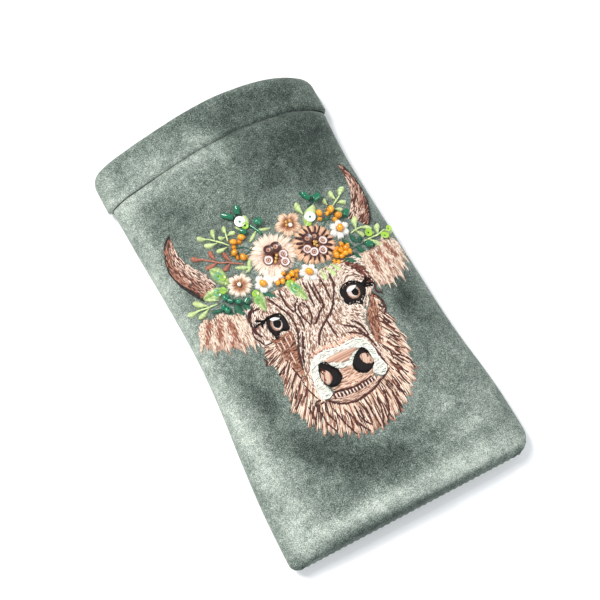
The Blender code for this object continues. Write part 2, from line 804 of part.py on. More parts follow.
def embroidery():
    slab = stitch_slab()
    taken = []
    for group in (FLOWERS, LEAVES):
        for name, (outline, slot) in group.items():
            stitch_patch(name, [outline], slot, slab, taken)
    for name, (line, leaves, slot) in SPRIGS.items():
        outlines = [stem(line, 0.45)]
        outlines += [ellipse(*leaf, count=12, point=0.3) for leaf in leaves]
        stitch_patch(name, outlines, slot, slab, taken)
    for name, (outline, slot) in HEAD.items():
        stitch_patch(name, [outline], slot, slab, taken)
    for name, (places, radius, slot) in BEAD_GROUPS.items():
        sewn_group(name, places, radius, slot, bead)
    for name, (places, radius, slot) in SEQUIN_GROUPS.items():
        sewn_group(name, places, radius, slot, sequin)


clear_scene()
PARTS = new_collection("glasses_pouch")
CUTTERS = new_collection("cutters")
SEAM_CUTTERS = {side: seam_cutter(side) for side in (1, -1)}
structure()
embroidery()
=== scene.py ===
"""Looks for the velvet glasses pouch: soft shells, thread embroidery, beads and studio light.

Lengths are in millimetres until a mesh is made. The embroidery is laid out in plan, as (x, y),
and seated on the front's velvet.
"""

from math import cos, pi, sin

import bpy
import numpy as np
from mathutils import Matrix, Vector


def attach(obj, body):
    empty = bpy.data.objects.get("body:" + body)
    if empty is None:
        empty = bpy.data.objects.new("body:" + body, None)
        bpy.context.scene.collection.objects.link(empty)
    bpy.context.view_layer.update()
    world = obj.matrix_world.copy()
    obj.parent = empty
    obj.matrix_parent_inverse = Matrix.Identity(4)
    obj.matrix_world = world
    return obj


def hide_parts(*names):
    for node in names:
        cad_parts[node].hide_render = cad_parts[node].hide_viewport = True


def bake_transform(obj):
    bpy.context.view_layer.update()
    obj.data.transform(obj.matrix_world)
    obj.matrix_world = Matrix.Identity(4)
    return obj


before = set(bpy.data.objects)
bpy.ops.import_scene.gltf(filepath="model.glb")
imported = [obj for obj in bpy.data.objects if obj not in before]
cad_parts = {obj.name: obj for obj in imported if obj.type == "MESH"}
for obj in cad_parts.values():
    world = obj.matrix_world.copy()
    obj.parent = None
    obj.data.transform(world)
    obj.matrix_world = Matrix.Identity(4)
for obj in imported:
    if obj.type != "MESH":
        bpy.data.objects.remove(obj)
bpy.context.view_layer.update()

MATERIALS = {}  # by slot, made at the end of this file
MM = 0.001
RNG = np.random.default_rng(7)

# ------------------------------------------------------------------ camera, light, floor

EYE = np.array([-118.9, -125.8, 557.1])
LOOK = np.array([0.204, 0.225, -0.953])
UP = np.array([0.429, 0.854, 0.294])


def place_camera():
    """The camera where the photograph was taken from."""
    camera = bpy.data.cameras.new("camera")
    camera.lens = 90
    camera.sensor_width = 36
    camera.clip_start = 0.01
    obj = bpy.data.objects.new("camera", camera)
    bpy.context.scene.collection.objects.link(obj)
    back = -Vector(LOOK).normalized()
    right = Vector(UP).cross(back).normalized()
    up = back.cross(right)
    obj.matrix_world = Matrix.Translation(Vector(EYE * MM)) @ Matrix(
        (right, up, back)
    ).transposed().to_4x4()
    bpy.context.scene.camera = obj


def area_light(name, place, size, watts, colour=(1, 1, 1)):
    light = bpy.data.lights.new(name, "AREA")
    light.shape = "DISK"
    light.size = size
    light.energy = watts
    light.color = colour
    obj = bpy.data.objects.new(name, light)
    bpy.context.scene.collection.objects.link(obj)
    obj.location = place
    obj.rotation_euler = Vector(place).to_track_quat("Z", "Y").to_euler()


def studio():
    """Soft light from the upper left, over a white table."""
    world = bpy.data.worlds.new("studio")
    world.use_nodes = True
    sky = world.node_tree.nodes["Background"]
    sky.inputs["Color"].default_value = (0.93, 0.96, 1.0, 1)
    sky.inputs["Strength"].default_value = 0.62
    bpy.context.scene.world = world
    area_light("key", (-0.45, 0.62, 1.0), 0.55, 14, (1.0, 0.985, 0.96))
    area_light("fill", (0.2, -0.9, 0.9), 0.8, 5, (0.95, 0.98, 1.0))
    area_light("glint", (-0.3, 0.25, 0.95), 0.03, 1.2)
    bpy.context.scene.view_settings.view_transform = "Standard"
    bpy.context.scene.view_settings.look = "None"
    bpy.ops.mesh.primitive_plane_add(size=6, location=(0, 0, -0.0002))
    floor = bpy.context.object
    floor.name = "floor"
    floor.data.materials.append(plain("floor", (253, 253, 253), Roughness=0.95))


# ------------------------------------------------------------------ materials


def linear(colour):
    """An sRGB colour of 0 to 255 as linear light."""
    c = np.asarray(colour, float) / 255
    return np.where(c <= 0.04045, c / 12.92, ((c + 0.055) / 1.055) ** 2.4)


def plain(name, colour, **inputs):
    made = bpy.data.materials.new(name)
    made.use_nodes = True
    shader = made.node_tree.nodes["Principled BSDF"]
    shader.inputs["Base Color"].default_value = (*linear(colour), 1)
    for key, value in inputs.items():
        shader.inputs[key.replace("_", " ")].default_value = value
    made.diffuse_color = (*linear(colour), 1)
    return made


def add_node(tree, kind, links=(), **values):
    """A node with its settings from values, and its inputs set or linked from links."""
    node = tree.nodes.new(kind)
    for key, value in values.items():
        if hasattr(node, key):
            setattr(node, key, value)
    for key, value in dict(links).items():
        socket = node.inputs[key]
        if isinstance(value, bpy.types.NodeSocket):
            tree.links.new(value, socket)
        else:
            socket.default_value = value
    return node


def bump_into(tree, height, strength, distance):
    node = add_node(
        tree, "ShaderNodeBump",
        {"Height": height, "Strength": strength, "Distance": distance})
    feed(tree, "Normal", node.outputs["Normal"])


def feed(tree, name, socket):
    """Links a socket to an input of the tree's shader."""
    tree.links.new(socket, tree.nodes["Principled BSDF"].inputs[name])


def noise_node(tree, vector, scale, detail, roughness=0.6, distortion=0.0):
    node = add_node(
        tree, "ShaderNodeTexNoise",
        {"Vector": vector, "Scale": scale, "Detail": detail, "Roughness": roughness,
         "Distortion": distortion})
    return node.outputs["Fac"]


def maths(tree, operation, *values, clamp=False):
    node = add_node(tree, "ShaderNodeMath", dict(enumerate(values)), operation=operation,
                    use_clamp=clamp)
    return node.outputs[0]


def scaled(tree, colour, factor):
    """A colour made lighter or darker by a factor."""
    node = add_node(tree, "ShaderNodeVectorMath", {0: colour, "Scale": factor},
                    operation="SCALE")
    return node.outputs[0]


def ramp(tree, factor, stops):
    node = add_node(tree, "ShaderNodeValToRGB", {"Fac": factor})
    elements = node.color_ramp.elements
    while len(elements) < len(stops):
        elements.new(0.5)
    for element, (at, colour) in zip(elements, stops):
        element.position = at
        element.color = (*linear(colour), 1)
    return node.outputs["Color"]


def attribute(tree, name):
    return add_node(tree, "ShaderNodeAttribute", attribute_name=name)


def velvet_material():
    """Cut pile: a speckle of single tufts over the brushed light and dark of its nap, with painted
    shade and highlights laid in among the nap's patches.
    """
    made = plain("velvet", (120, 136, 130), Roughness=0.9, Sheen_Weight=0.35,
                 Sheen_Roughness=0.45, Specular_IOR_Level=0.2)
    made.node_tree.nodes["Principled BSDF"].inputs["Sheen Tint"].default_value = (
        *linear((205, 214, 206)), 1)
    tree = made.node_tree
    rest = attribute(tree, "rest").outputs["Vector"]
    nap_and_shade = attribute(tree, "nap_and_shade").outputs["Fac"]
    tufts = noise_node(tree, rest, 2.9, 2.5, 0.75)
    mottle = noise_node(tree, rest, 0.5, 4, 0.65)
    drift = noise_node(tree, rest, 0.11, 5, 0.62, 0.8)
    value = maths(tree, "MULTIPLY_ADD", tufts, 2.1, -1.05)
    for noise, strength in ((mottle, 0.55), (drift, 0.6)):
        swing = maths(tree, "MULTIPLY", maths(tree, "SUBTRACT", noise, 0.5), strength)
        value = maths(tree, "ADD", value, swing)
    # this attribute carries the brushed nap together with painted shade and highlights
    value = maths(tree, "ADD", value, nap_and_shade, clamp=True)
    colour = ramp(tree, value, [
        (0.0, (34, 42, 38)), (0.3, (80, 92, 85)), (0.5, (115, 127, 119)),
        (0.72, (156, 166, 156)), (1.0, (214, 220, 209))])
    feed(tree, "Base Color", colour)
    bump_into(tree, tufts, 0.55, 0.0004)
    return made


def thread_material(name, colour, roughness=0.42, sheen=0.12, specular=0.4):
    """Twisted rayon: its colour is on the strands, and the twist is in the bump and is also
    painted into the colour as shade in its grooves and light on its ridges.
    """
    made = plain(name, colour, Roughness=roughness, Sheen_Weight=sheen,
                 Specular_IOR_Level=specular)
    tree = made.node_tree
    paint = attribute(tree, "strand").outputs["Color"]
    uv = add_node(tree, "ShaderNodeUVMap", uv_map="strand_uv").outputs["UV"]
    twist = add_node(
        tree, "ShaderNodeTexWave",
        {"Vector": uv, "Scale": 0.9, "Distortion": 0.6, "Detail": 1.0, "Detail Scale": 2.0},
        wave_type="BANDS", bands_direction="DIAGONAL", wave_profile="SIN").outputs["Fac"]
    # painted shade and highlight of the twist: the strand colour is darkened to 0.86 in its
    # grooves and lifted to 1.08 on its ridges
    feed(tree, "Base Color", scaled(tree, paint, maths(tree, "MULTIPLY_ADD", twist, 0.22, 0.86)))
    bump_into(tree, twist, 0.5, 0.00008)
    return made


def woven_material(name, colour, light, scale=5.0, roughness=0.45):
    """Smooth woven cloth, from two crossed wave patterns."""
    made = plain(name, colour, Roughness=roughness, Sheen_Weight=0.2)
    tree = made.node_tree
    rest = attribute(tree, "rest").outputs["Vector"]
    waves = [
        add_node(tree, "ShaderNodeTexWave", {"Vector": rest, "Scale": scale,
                 "Distortion": 0.3}, bands_direction=way).outputs["Fac"]
        for way in ("X", "Y")]
    weave = maths(tree, "MULTIPLY", *waves)
    tone = maths(tree, "ADD", weave, maths(
        tree, "SUBTRACT", noise_node(tree, rest, 0.2, 3), 0.5), clamp=True)
    colours = ramp(tree, tone, [(0.0, colour), (1.0, light)])
    feed(tree, "Base Color", colours)
    bump_into(tree, weave, 0.4, 0.0001)
    return made


def fibre_material(name, colour, light):
    """Soft wadding: loose white fibres."""
    made = plain(name, colour, Roughness=0.95, Sheen_Weight=0.3)
    tree = made.node_tree
    rest = attribute(tree, "rest").outputs["Vector"]
    fibres = noise_node(tree, rest, 1.2, 6, 0.8)
    feed(tree, "Base Color", ramp(tree, fibres, [(0.2, colour), (0.8, light)]))
    bump_into(tree, fibres, 0.8, 0.0005)
    return made


def worn_material(name, colour, light, scale, **inputs):
    """Metal, plastic or glass with a little variation in colour and gloss."""
    made = plain(name, colour, **inputs)
    tree = made.node_tree
    place = add_node(tree, "ShaderNodeTexCoord").outputs["Object"]
    grain = noise_node(tree, place, scale, 3)
    feed(tree, "Base Color", ramp(tree, grain, [(0.3, colour), (0.75, light)]))
    rough = inputs["Roughness"]
    feed(tree, "Roughness", maths(tree, "MULTIPLY_ADD", grain, rough * 0.5, rough * 0.75))
    return made


def bead_material(name, colour, clear=0.12, roughness=0.08):
    """Glass or glossy plastic, coloured on its points, with a clear coat."""
    made = plain(name, colour, Roughness=roughness, Coat_Weight=0.6, Coat_Roughness=0.05,
                 Transmission_Weight=clear, IOR=1.5)
    tree = made.node_tree
    paint = attribute(tree, "strand").outputs["Color"]
    place = add_node(tree, "ShaderNodeTexCoord").outputs["Object"]
    cloud = maths(tree, "MULTIPLY_ADD", noise_node(tree, place, 900, 2), 0.5, 0.75)
    feed(tree, "Base Color", scaled(tree, paint, cloud))
    return made


# ------------------------------------------------------------------ the pouch's form

# Outline of the pouch: (y, x) along its left and right edges
LEFT_EDGE = [(-89, -52.4), (-60, -51.6), (-40, -50), (-20, -48), (0, -46.9), (25, -47.4),
             (50, -48.6), (68, -49.2), (92, -49.6)]
RIGHT_EDGE = [(-89, 51.2), (-60, 50.0), (-30, 46.6), (0, 45.0), (22, 44.0), (48, 43.1),
              (60, 43.5), (68, 44), (92, 44.4)]
CORNER = {-1: 3.5, 1: 8.0}  # plan radius of the bottom corners, left and right
BOTTOM = -86.9
# The mouth's edge: (u, y), with u from -1 at the left edge to 1 at the right
LIP = [(-1, 85.3), (-0.55, 87.4), (0, 90.2), (0.45, 90.2), (0.75, 88.7), (1, 85.6)]
BAND = 16.6  # depth of the casing outside
BAND_LEVEL = 80.0  # the y at which the casing's width is read
BAND_STEP = {-1: 1.6, 1: 1.1}  # how far the casing stands out past the sides
BAND_CORNER = 5.5  # plan radius of the casing's corners
SEAM_Z = 6.5  # height of the plane in which the two halves are sewn together
SEAM_GAP = 0.12  # how far each half stays from that plane at its edge
DEPTH = 12.4  # how high the front rises over the seam plane
END_REACH = 13.0  # how far from the bottom the front is still rising
TUCK = 1.6  # how far a seamed edge turns in
FRONT_ROUND = 2.3  # power of the front's rounded section
BACK_ROUND = 4.5  # power of the back's section, which is flatter
LEAF_END = 0.86  # where a leaf spring ends, as u
CAP_REACH = (0.868, 0.93)  # where its cap starts and ends, as u
LEAF_RISE = (1.6, 12.6)  # lower and upper edge of a leaf spring over the band's seam

# Creases that the stitching draws into the velvet: (points, depth, half width)
CREASES = [
    ([(-43, -14), (-33, -28), (-27, -44), (-13, -60), (4, -68)], 0.9, 5.0),
    ([(36, -12), (35, -26), (31, -40)], 0.7, 4.5),
    ([(10, -64), (24, -58), (33, -46)], 0.35, 4.0),
    ([(24, 50), (34, 56), (42, 58)], 0.4, 4.0),
    ([(-34, 47), (-24, 44), (-8, 50)], 0.3, 4.0),
    ([(2, 70), (4, 56), (1, 46)], 0.3, 3.5),
]
# Patches of the nap, and of painted light and shade: the light rim and dark edge along the bottom,
# the dark creases by the beard and under the right ear, and the light streaks of sheen down the
# left side are painted light and shade; the rest is brushed nap. (x, y, half length, half width,
# angle, lightness)
NAP_AND_SHADE = [
    (-46, 20, 60, 5, 90, 0.22), (-46, -30, 30, 5, 95, 0.1), (-28, 78, 17, 6, 8, 0.1),
    (-38, 66, 12, 4, -10, 0.16), (2, 78, 6, 9, 90, -0.12), (26, 79, 26, 8, -3, -0.16),
    (26, 60, 22, 9, 5, -0.26), (30, 46, 16, 8, 0, -0.16), (-32, 50, 9, 7, 40, -0.12),
    (-12, 58, 12, 7, 20, 0.06), (-2, 47, 12, 6, 80, 0.03), (6, 48, 12, 4, -10, -0.12),
    (-33, -26, 9, 5, -60, -0.2), (-25, -52, 15, 5, -48, -0.24), (2, -67, 20, 6, 8, -0.22),
    (-43, -45, 16, 6, 100, 0.08), (-42, -72, 14, 10, 0, 0.14), (2, -80.5, 50, 3.4, 0, 0.22),
    (34, -14, 5, 11, 10, -0.22), (26, -56, 16, 7, 40, 0.06), (34, -66, 12, 6, 20, 0.1),
    (-20, 35, 12, 6, 20, -0.1), (37, 30, 5, 12, 0, -0.04), (20, -73, 18, 4, 0, -0.04),
    (0, -86.2, 56, 1.5, 0, -0.35), (-30, 30, 6, 12, 20, -0.06), (42, -60, 12, 5, 80, 0.1),
    (26, 66, 24, 20, 0, -0.12), (-5, 75, 6, 7, 0, 0.12), (-10, 57, 14, 6, 10, -0.08),
    (40, -30, 7, 26, 0, -0.07), (33, -16, 5, 6, 0, -0.1), (-17, -55, 10, 6, -45, -0.16),
    (-10, -64, 26, 6, 0, -0.1), (-30, -84, 18, 2.4, 0, -0.1), (30, 40, 9, 9, 0, -0.06),
    (0, 40, 10, 7, 0, -0.1), (-33, -26, 6, 4, -60, -0.08), (28, -64, 8, 4, 0, -0.06),
    (-46, -48, 22, 6, 95, 0.1), (-47, 66, 9, 4, 90, 0.08), (-28, 70, 16, 3, 0, 0.12),
    (24, -83.6, 28, 2.2, 0, 0.2), (0, 85, 30, 5, 0, -0.1), (-36, 60, 8, 4, 0, -0.06),
    (16, -62, 14, 4, 15, 0.12), (28, -70, 16, 6, 5, 0.1), (0, -79, 34, 3, 0, 0.1),
    (-8, 70, 12, 6, 0, 0.06), (36, -14, 4, 12, 0, -0.08), (0, 56, 5, 5, 0, 0.08),
    (-12, 70, 11, 7, 0, 0.08), (-44, -78, 8, 12, 0, 0.1), (-30, -80.5, 16, 4, 0, 0.14),
    (32, -79, 14, 5, 0, 0.12), (26, -60, 8, 6, 0, 0.1), (36, -21, 5, 6, 0, 0.1),
]


def curve_through(table, at):
    """A smooth curve through (position, value) pairs."""
    xs, vs = np.array(table, float).T
    slopes = np.gradient(vs, xs)
    at = np.clip(at, xs[0], xs[-1])
    i = np.clip(np.searchsorted(xs, at) - 1, 0, len(xs) - 2)
    h = xs[i + 1] - xs[i]
    t = (at - xs[i]) / h
    return (
        vs[i] * (1 + 2 * t) * (1 - t) ** 2 + slopes[i] * h * t * (1 - t) ** 2
        + vs[i + 1] * t**2 * (3 - 2 * t) + slopes[i + 1] * h * t**2 * (t - 1))


def drawn_in(rise, radius):
    """How far an outline is drawn in near a rounded corner of that radius."""
    rise = np.clip(rise, 0, radius)
    return radius - np.sqrt(np.maximum(radius**2 - (radius - rise) ** 2, 0))


def edges(y, inset=0.0):
    """Left and right edge at y, drawn in at the bottom corners."""
    rise = y - BOTTOM - inset
    left = curve_through(LEFT_EDGE, y) + inset + drawn_in(rise, CORNER[-1] - 0.3 * inset)
    right = curve_through(RIGHT_EDGE, y) - inset - drawn_in(rise, CORNER[1] - 0.3 * inset)
    return left, right


def x_across(y, u, inset=0.0):
    """x at y, with u from -1 at the left edge to 1 at the right."""
    left, right = edges(y, inset)
    return (left + right) / 2 + (right - left) / 2 * u


def rounded(off, power):
    """A rounded section: 1 in its middle and 0 at its edges, where off is -1 or 1."""
    return np.maximum(1 - np.abs(off) ** power, 0) ** (1 / power)


def bell(x, y, patch):
    """1 in the middle of a patch of nap or painted light and shade, falling off to 0 at about
    twice its half sizes.
    """
    cx, cy, long, wide, angle, _ = patch
    turn = np.radians(angle)
    dx, dy = x - cx, y - cy
    along = (dx * cos(turn) + dy * sin(turn)) / long
    beside = (dy * cos(turn) - dx * sin(turn)) / wide
    return np.exp(-(along**2 + beside**2))


def distance_to_line(x, y, points):
    best = np.full(np.shape(x), 1e9)
    for (x0, y0), (x1, y1) in zip(points, points[1:]):
        dx, dy = x1 - x0, y1 - y0
        t = np.clip(((x - x0) * dx + (y - y0) * dy) / (dx * dx + dy * dy), 0, 1)
        best = np.minimum(best, np.hypot(x - x0 - t * dx, y - y0 - t * dy))
    return best


def ripple(x, y):
    """Slow unevenness of stuffed cloth, from a few crossed waves."""
    total = 0
    for k, (length, angle, phase, size) in enumerate(
        [(31, 20, 0.3, 0.2), (23, 80, 1.9, 0.18), (17, -40, 4.1, 0.13), (11, 55, 2.2, 0.07),
         (8, -15, 5.0, 0.05), (6.1, 100, 0.8, 0.035)]):
        turn = np.radians(angle)
        along = x * cos(turn) + y * sin(turn)
        across = y * cos(turn) - x * sin(turn)
        total = total + size * np.sin(2 * pi * along / length + phase
                                      + 0.8 * np.sin(2 * pi * across / (length * 1.7) + k))
    return total


def lip_y(u):
    """The y of the mouth's edge."""
    return curve_through(LIP, u)


def seam_y(u):
    """The y of the casing's stitching."""
    return lip_y(u) - BAND


def front_height(x, y, inset=0.0):
    """Height of the front's velvet above the seam plane, or of a layer inset under it."""
    left, right = edges(y, inset)
    half = (right - left) / 2
    u = np.clip((x - (left + right) / 2) / half, -1, 1)
    run = np.clip((y - BOTTOM - inset) / (END_REACH - inset), 0, 1)
    slack = np.clip((90 - y) / 178, 0, 1) ** 1.5
    height = ((DEPTH - inset - 2.4 * slack) * rounded(u, FRONT_ROUND)
              * rounded(1 - run, FRONT_ROUND))
    dents = sum(
        deep * np.exp(-((distance_to_line(x, y, line) / wide) ** 2))
        for line, deep, wide in CREASES)
    return height - (dents - ripple(x, y)) * np.clip(height / 6, 0, 1)


def seated(x, y, lift):
    """Points on the front over (x, y), raised by lift, with the front's normals."""
    px, py = np.asarray(x, float), np.asarray(y, float)
    z = front_height(px, py)
    step = 0.4
    slope_x = (front_height(px + step, py) - front_height(px - step, py)) / (2 * step)
    slope_y = (front_height(px, py + step) - front_height(px, py - step)) / (2 * step)
    normal = np.stack([-slope_x, -slope_y, np.ones_like(slope_x)], -1)
    normal /= np.linalg.norm(normal, axis=-1, keepdims=True)
    point = np.stack([px, py, z + SEAM_Z], -1)
    return point + normal * np.asarray(lift)[..., None], normal


# ------------------------------------------------------------------ meshes


def make_mesh(name, points, faces, slot):
    """A mesh piece from points in millimetres, which keep their rest place as an attribute."""
    points = np.asarray(points, float).reshape(-1, 3)
    data = bpy.data.meshes.new(name)
    data.from_pydata((points * MM).tolist(), [], faces)
    data.update()
    data.shade_smooth()
    data.materials.append(MATERIALS[slot])
    rest = data.attributes.new("rest", "FLOAT_VECTOR", "POINT")
    rest.data.foreach_set("vector", points.astype(np.float32).ravel())
    obj = bpy.data.objects.new(name, data)
    bpy.context.scene.collection.objects.link(obj)
    obj["slot"] = slot
    return obj


def places_of(obj):
    """The vertices of a mesh piece, in millimetres."""
    points = np.zeros(len(obj.data.vertices) * 3)
    obj.data.vertices.foreach_get("co", points)
    return points.reshape(-1, 3) / MM


def paint_points(obj, colours):
    """Puts a colour on every point, for the thread and bead materials to read."""
    paint = linear(np.concatenate(colours))
    solid = np.concatenate([paint, np.ones((len(paint), 1))], 1)
    strand = obj.data.attributes.new("strand", "FLOAT_COLOR", "POINT")
    strand.data.foreach_set("color", solid.astype(np.float32).ravel())


def apply_all(obj):
    """Bakes a piece's modifiers into its mesh."""
    bpy.context.view_layer.update()
    graph = bpy.context.evaluated_depsgraph_get()
    baked = bpy.data.meshes.new_from_object(obj.evaluated_get(graph))
    obj.modifiers.clear()
    obj.data = baked


def sheet_from_grid(name, grid, slot, thickness, side=1, thin=None):
    """A closed cloth piece from a grid of points, thickened away from its outer face. side is
    1 when that face looks up and -1 when it looks down; thin is the share of its thickness at
    each column, which has to be the same from both sides."""
    if side < 0:
        grid = grid[:, ::-1]
    rows, columns = grid.shape[:2]
    index = np.arange(rows * columns).reshape(rows, columns)
    faces = np.stack(
        [index[:-1, :-1], index[:-1, 1:], index[1:, 1:], index[1:, :-1]], -1).reshape(-1, 4)
    obj = make_mesh(name, grid, faces.tolist(), slot)
    shell = obj.modifiers.new("cloth", "SOLIDIFY")
    shell.thickness = thickness * MM
    shell.offset = -1
    if thin is not None:
        group = obj.vertex_groups.new(name="thin")
        for column in range(columns):
            group.add(index[:, column].tolist(), float(thin[column]), "REPLACE")
        shell.vertex_group = "thin"
    apply_all(obj)
    return obj


def paint_nap_and_shade(obj):
    """Puts the lightness of the brushed nap, and of the painted light and shade among its patches,
    on every point.
    """
    x, y = places_of(obj)[:, :2].T
    # painted light and shade are summed here with the brushed nap, from the same patches
    lightness = 0.43 + sum(patch[5] * bell(x, y, patch) for patch in NAP_AND_SHADE)
    nap_and_shade = obj.data.attributes.new("nap_and_shade", "FLOAT", "POINT")
    nap_and_shade.data.foreach_set("value", lightness.astype(np.float32))


def columns_across(count):
    """u across the pouch, closer at the edges, and how far each edge column tucks under."""
    u = np.sin(np.linspace(-pi / 2, pi / 2, count))
    under = np.array([0.33, 0.67, 1.0])
    return (np.concatenate([-np.ones(3), u, np.ones(3)]),
            np.concatenate([under[::-1], np.zeros(count), under]))


def shell_grid(rows, u, tuck, inset, height):
    """Points of one half at each row's y, which may vary across."""
    grid = []
    for y in rows:
        y = np.broadcast_to(np.asarray(y, float), u.shape)
        x = x_across(y, u, inset) - np.sign(u) * tuck * TUCK
        grid.append(np.stack([x, y, height(x, y, u, inset)], -1))
    return np.array(grid)


# front_z and back_z take the same arguments, so that either can be handed on as a height.


def front_z(x, y, u, inset):
    """Height of the front, or of a layer inset under it."""
    return SEAM_Z + front_height(x, y, inset)


def back_z(x, y, u, inset):
    """Height of the back, which lies flat on the table, or of a layer above it."""
    share = np.minimum(1, 1.05 * rounded(u, BACK_ROUND))
    run = np.clip((y - BOTTOM - inset) / (7 - 0.5 * inset), 0, 1)
    rise = np.minimum(1, 1.05 * rounded(1 - run, FRONT_ROUND))
    return SEAM_Z - (SEAM_Z - inset) * share * rise


def end_rows(start, count, reach=12.0):
    """Rows crowded at the bottom end, where the surface turns down."""
    t = np.linspace(0, 1, count)
    return start + reach * (1 - np.cos(t * pi / 2))


def panel(name, side, inset, thickness, slot, fine=1.0):
    """One layer of a half, from the bottom seam to the casing, inset from the velvet."""
    u, tuck = columns_across(int(120 * fine))
    rows = list(end_rows(BOTTOM + inset, int(22 * fine)))
    low, top = rows[-1], seam_y(u) - 0.35
    steps = int(190 * fine)
    for t in np.arange(1, steps + 1) / steps:
        rows.append(low * (1 - t) + top * t)
    grid = shell_grid(rows, u, tuck, inset, front_z if side > 0 else back_z)
    # the bottom edge turns in at the seam, like the sides
    under = [grid[0] + np.array([0, TUCK * t, 0]) for t in (1.0, 0.67, 0.33)]
    grid = np.concatenate([np.array(under), grid])
    edge = SEAM_Z + side * SEAM_GAP
    grid[:, tuck > 0, 2] = edge
    grid[:3, :, 2] = edge
    grid[..., 2] = np.where(side * (grid[..., 2] - SEAM_Z) < SEAM_GAP, edge, grid[..., 2])
    # the top edge rolls down into the groove under the band
    if inset == 0:
        top = grid[-1, :, 1]
        away = top[None, :] - grid[..., 1]
        roll = np.exp(-(away / 1.1) ** 2) * 0.9
        lift = 0.35 * np.exp(-((away - 2.6) / 1.6) ** 2)
        limit = np.clip((side * (grid[..., 2] - SEAM_Z)) / 4, 0, 1)
        grid[..., 2] -= side * (roll - lift * (side > 0)) * limit
        if side < 0:
            grid[..., 2] = np.maximum(grid[..., 2], 0)
    return sheet_from_grid(name, grid, slot, thickness, side)


def band(name, side):
    """The casing over its spring: out from the groove, over the lip and back inside."""
    u, tuck = columns_across(120)
    share = rounded(u, FRONT_ROUND)
    lip = lip_y(u)
    fold = 2.2  # radius of the fold over the lip
    length = BAND - fold
    # the path of the cloth: (how deep inside, how far along, how far it stands out)
    path = [(0.0, -0.4, -0.9), (0.0, 0.0, -0.2), (0.0, 0.5, 0.35), (0.0, 1.1, 0.6),
            (0.0, 1.9, 0.62), (0.0, 2.9, 0.5)]
    path += [(0.0, t, 0.42) for t in np.linspace(4, length - 0.1, 34)]
    path += [(fold * (1 - cos(a)), length + fold * sin(a), 0.42 * (1 + cos(a)) / 2)
             for a in np.linspace(0, pi, 15)]
    path += [(2 * fold, t, 0) for t in np.linspace(length - 0.8, 0.3, 18)]
    level = np.full_like(u, BAND_LEVEL)
    grid = []
    for inset, along, proud in path:
        y = lip - BAND + along
        near_lip = np.maximum(lip - y, 0)
        left, right = edges(level, inset)
        shut = drawn_in(near_lip, BAND_CORNER)
        grow = np.clip(proud + 0.6, 0, 1)
        left, right = left - BAND_STEP[-1] * grow + shut, right + BAND_STEP[1] * grow - shut
        x = (left + right) / 2 + (right - left) / 2 * u
        x = x - np.sign(u) * tuck * TUCK
        if side > 0:
            stand = proud * (1 + 0.35 * np.clip(u * 1.4, -1, 1)) + 0.12 * ripple(x * 2, y * 2)
            z = SEAM_Z + (DEPTH - inset) * share + stand * share
            z += ripple(x, y) * share * 0.7 * (1 - inset / (2 * fold))
            soft = 0.45 * np.exp(-((along - 13.0) / 3.0) ** 2) * (inset == 0)
            z += soft * share
        else:
            z = np.maximum(back_z(x, level, u, inset), 0)
            if proud < 0:
                z = z + 0.9 * np.clip((SEAM_Z - z) / 4, 0, 1)
        at_edge = (tuck > 0) | (side * (z - SEAM_Z) < SEAM_GAP)
        z = np.where(at_edge, SEAM_Z + side * SEAM_GAP, z)
        grid.append(np.stack([x, y, z], -1))
    thin = np.clip(1.5 * share, 0.1, 1)
    return sheet_from_grid(name, np.array(grid), "velvet", 0.9, side, thin)


def strip_mesh(name, side, u_range, inset, thickness, slot, count=60):
    """A flat strip inside the band, bent to the lip's curve."""
    u = np.linspace(*u_range, count)
    level = np.full_like(u, BAND_LEVEL)
    x = x_across(level, u, inset)
    if side > 0:
        z = SEAM_Z + (DEPTH - inset) * rounded(u, FRONT_ROUND)
    else:
        z = back_z(x, level, u, inset)
    low, high = LEAF_RISE
    grid = []
    for t in np.linspace(0, 1, 9):
        y = seam_y(u) + low + (high - low) * t
        grid.append(np.stack([x, y, z], -1))
    obj = sheet_from_grid(name, np.array(grid), slot, thickness, side)
    soften = obj.modifiers.new("edge", "BEVEL")
    soften.width = thickness * 0.25 * MM
    soften.segments = 2
    soften.limit_method = "ANGLE"
    apply_all(obj)
    return obj


# ------------------------------------------------------------------ movement


SEWN_EDGE = 3.0  # how wide a strip stays shut along each side seam
SOFT_START = 0.15  # the share of its bow over which the front starts to leave the strip
SHUT_UP_TO = -80.0  # below this y nothing moves
OPENS_OVER = 150.0  # the length over which the front comes to go along fully


def smooth_step(t):
    """0 up to t = 0 and 1 from t = 1, with a smooth rise between them."""
    t = np.clip(t, 0, 1)
    return t**2 * (3 - 2 * t)


def front_share(points):
    """How far each point goes with the front: not at all at the sewn sides and bottom."""
    x, y = points[:, 0], points[:, 1]
    left, right = curve_through(LEFT_EDGE, y), curve_through(RIGHT_EDGE, y)
    u = np.clip((x - (left + right) / 2) / ((right - left) / 2 - SEWN_EDGE), -1, 1)
    bow = np.cos(pi * u / 2)
    return bow * smooth_step(bow / SOFT_START) * smooth_step((y - SHUT_UP_TO) / OPENS_OVER)


def go_with_front(obj):
    """Bakes a piece's transform into its mesh and works out each point's share of the front; the
    share is not put on the piece.
    """
    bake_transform(obj)
    share = front_share(places_of(obj))


def finish_piece(obj, body, *nodes):
    """Drops a piece's slot mark, hangs it under its body, or for the front only bakes its
    transform, and hides the CAD nodes that it stands for.
    """
    del obj["slot"]
    if body == "front":
        go_with_front(obj)
    else:
        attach(obj, body)
    if nodes:
        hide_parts(*nodes)


# ------------------------------------------------------------------ building the pouch


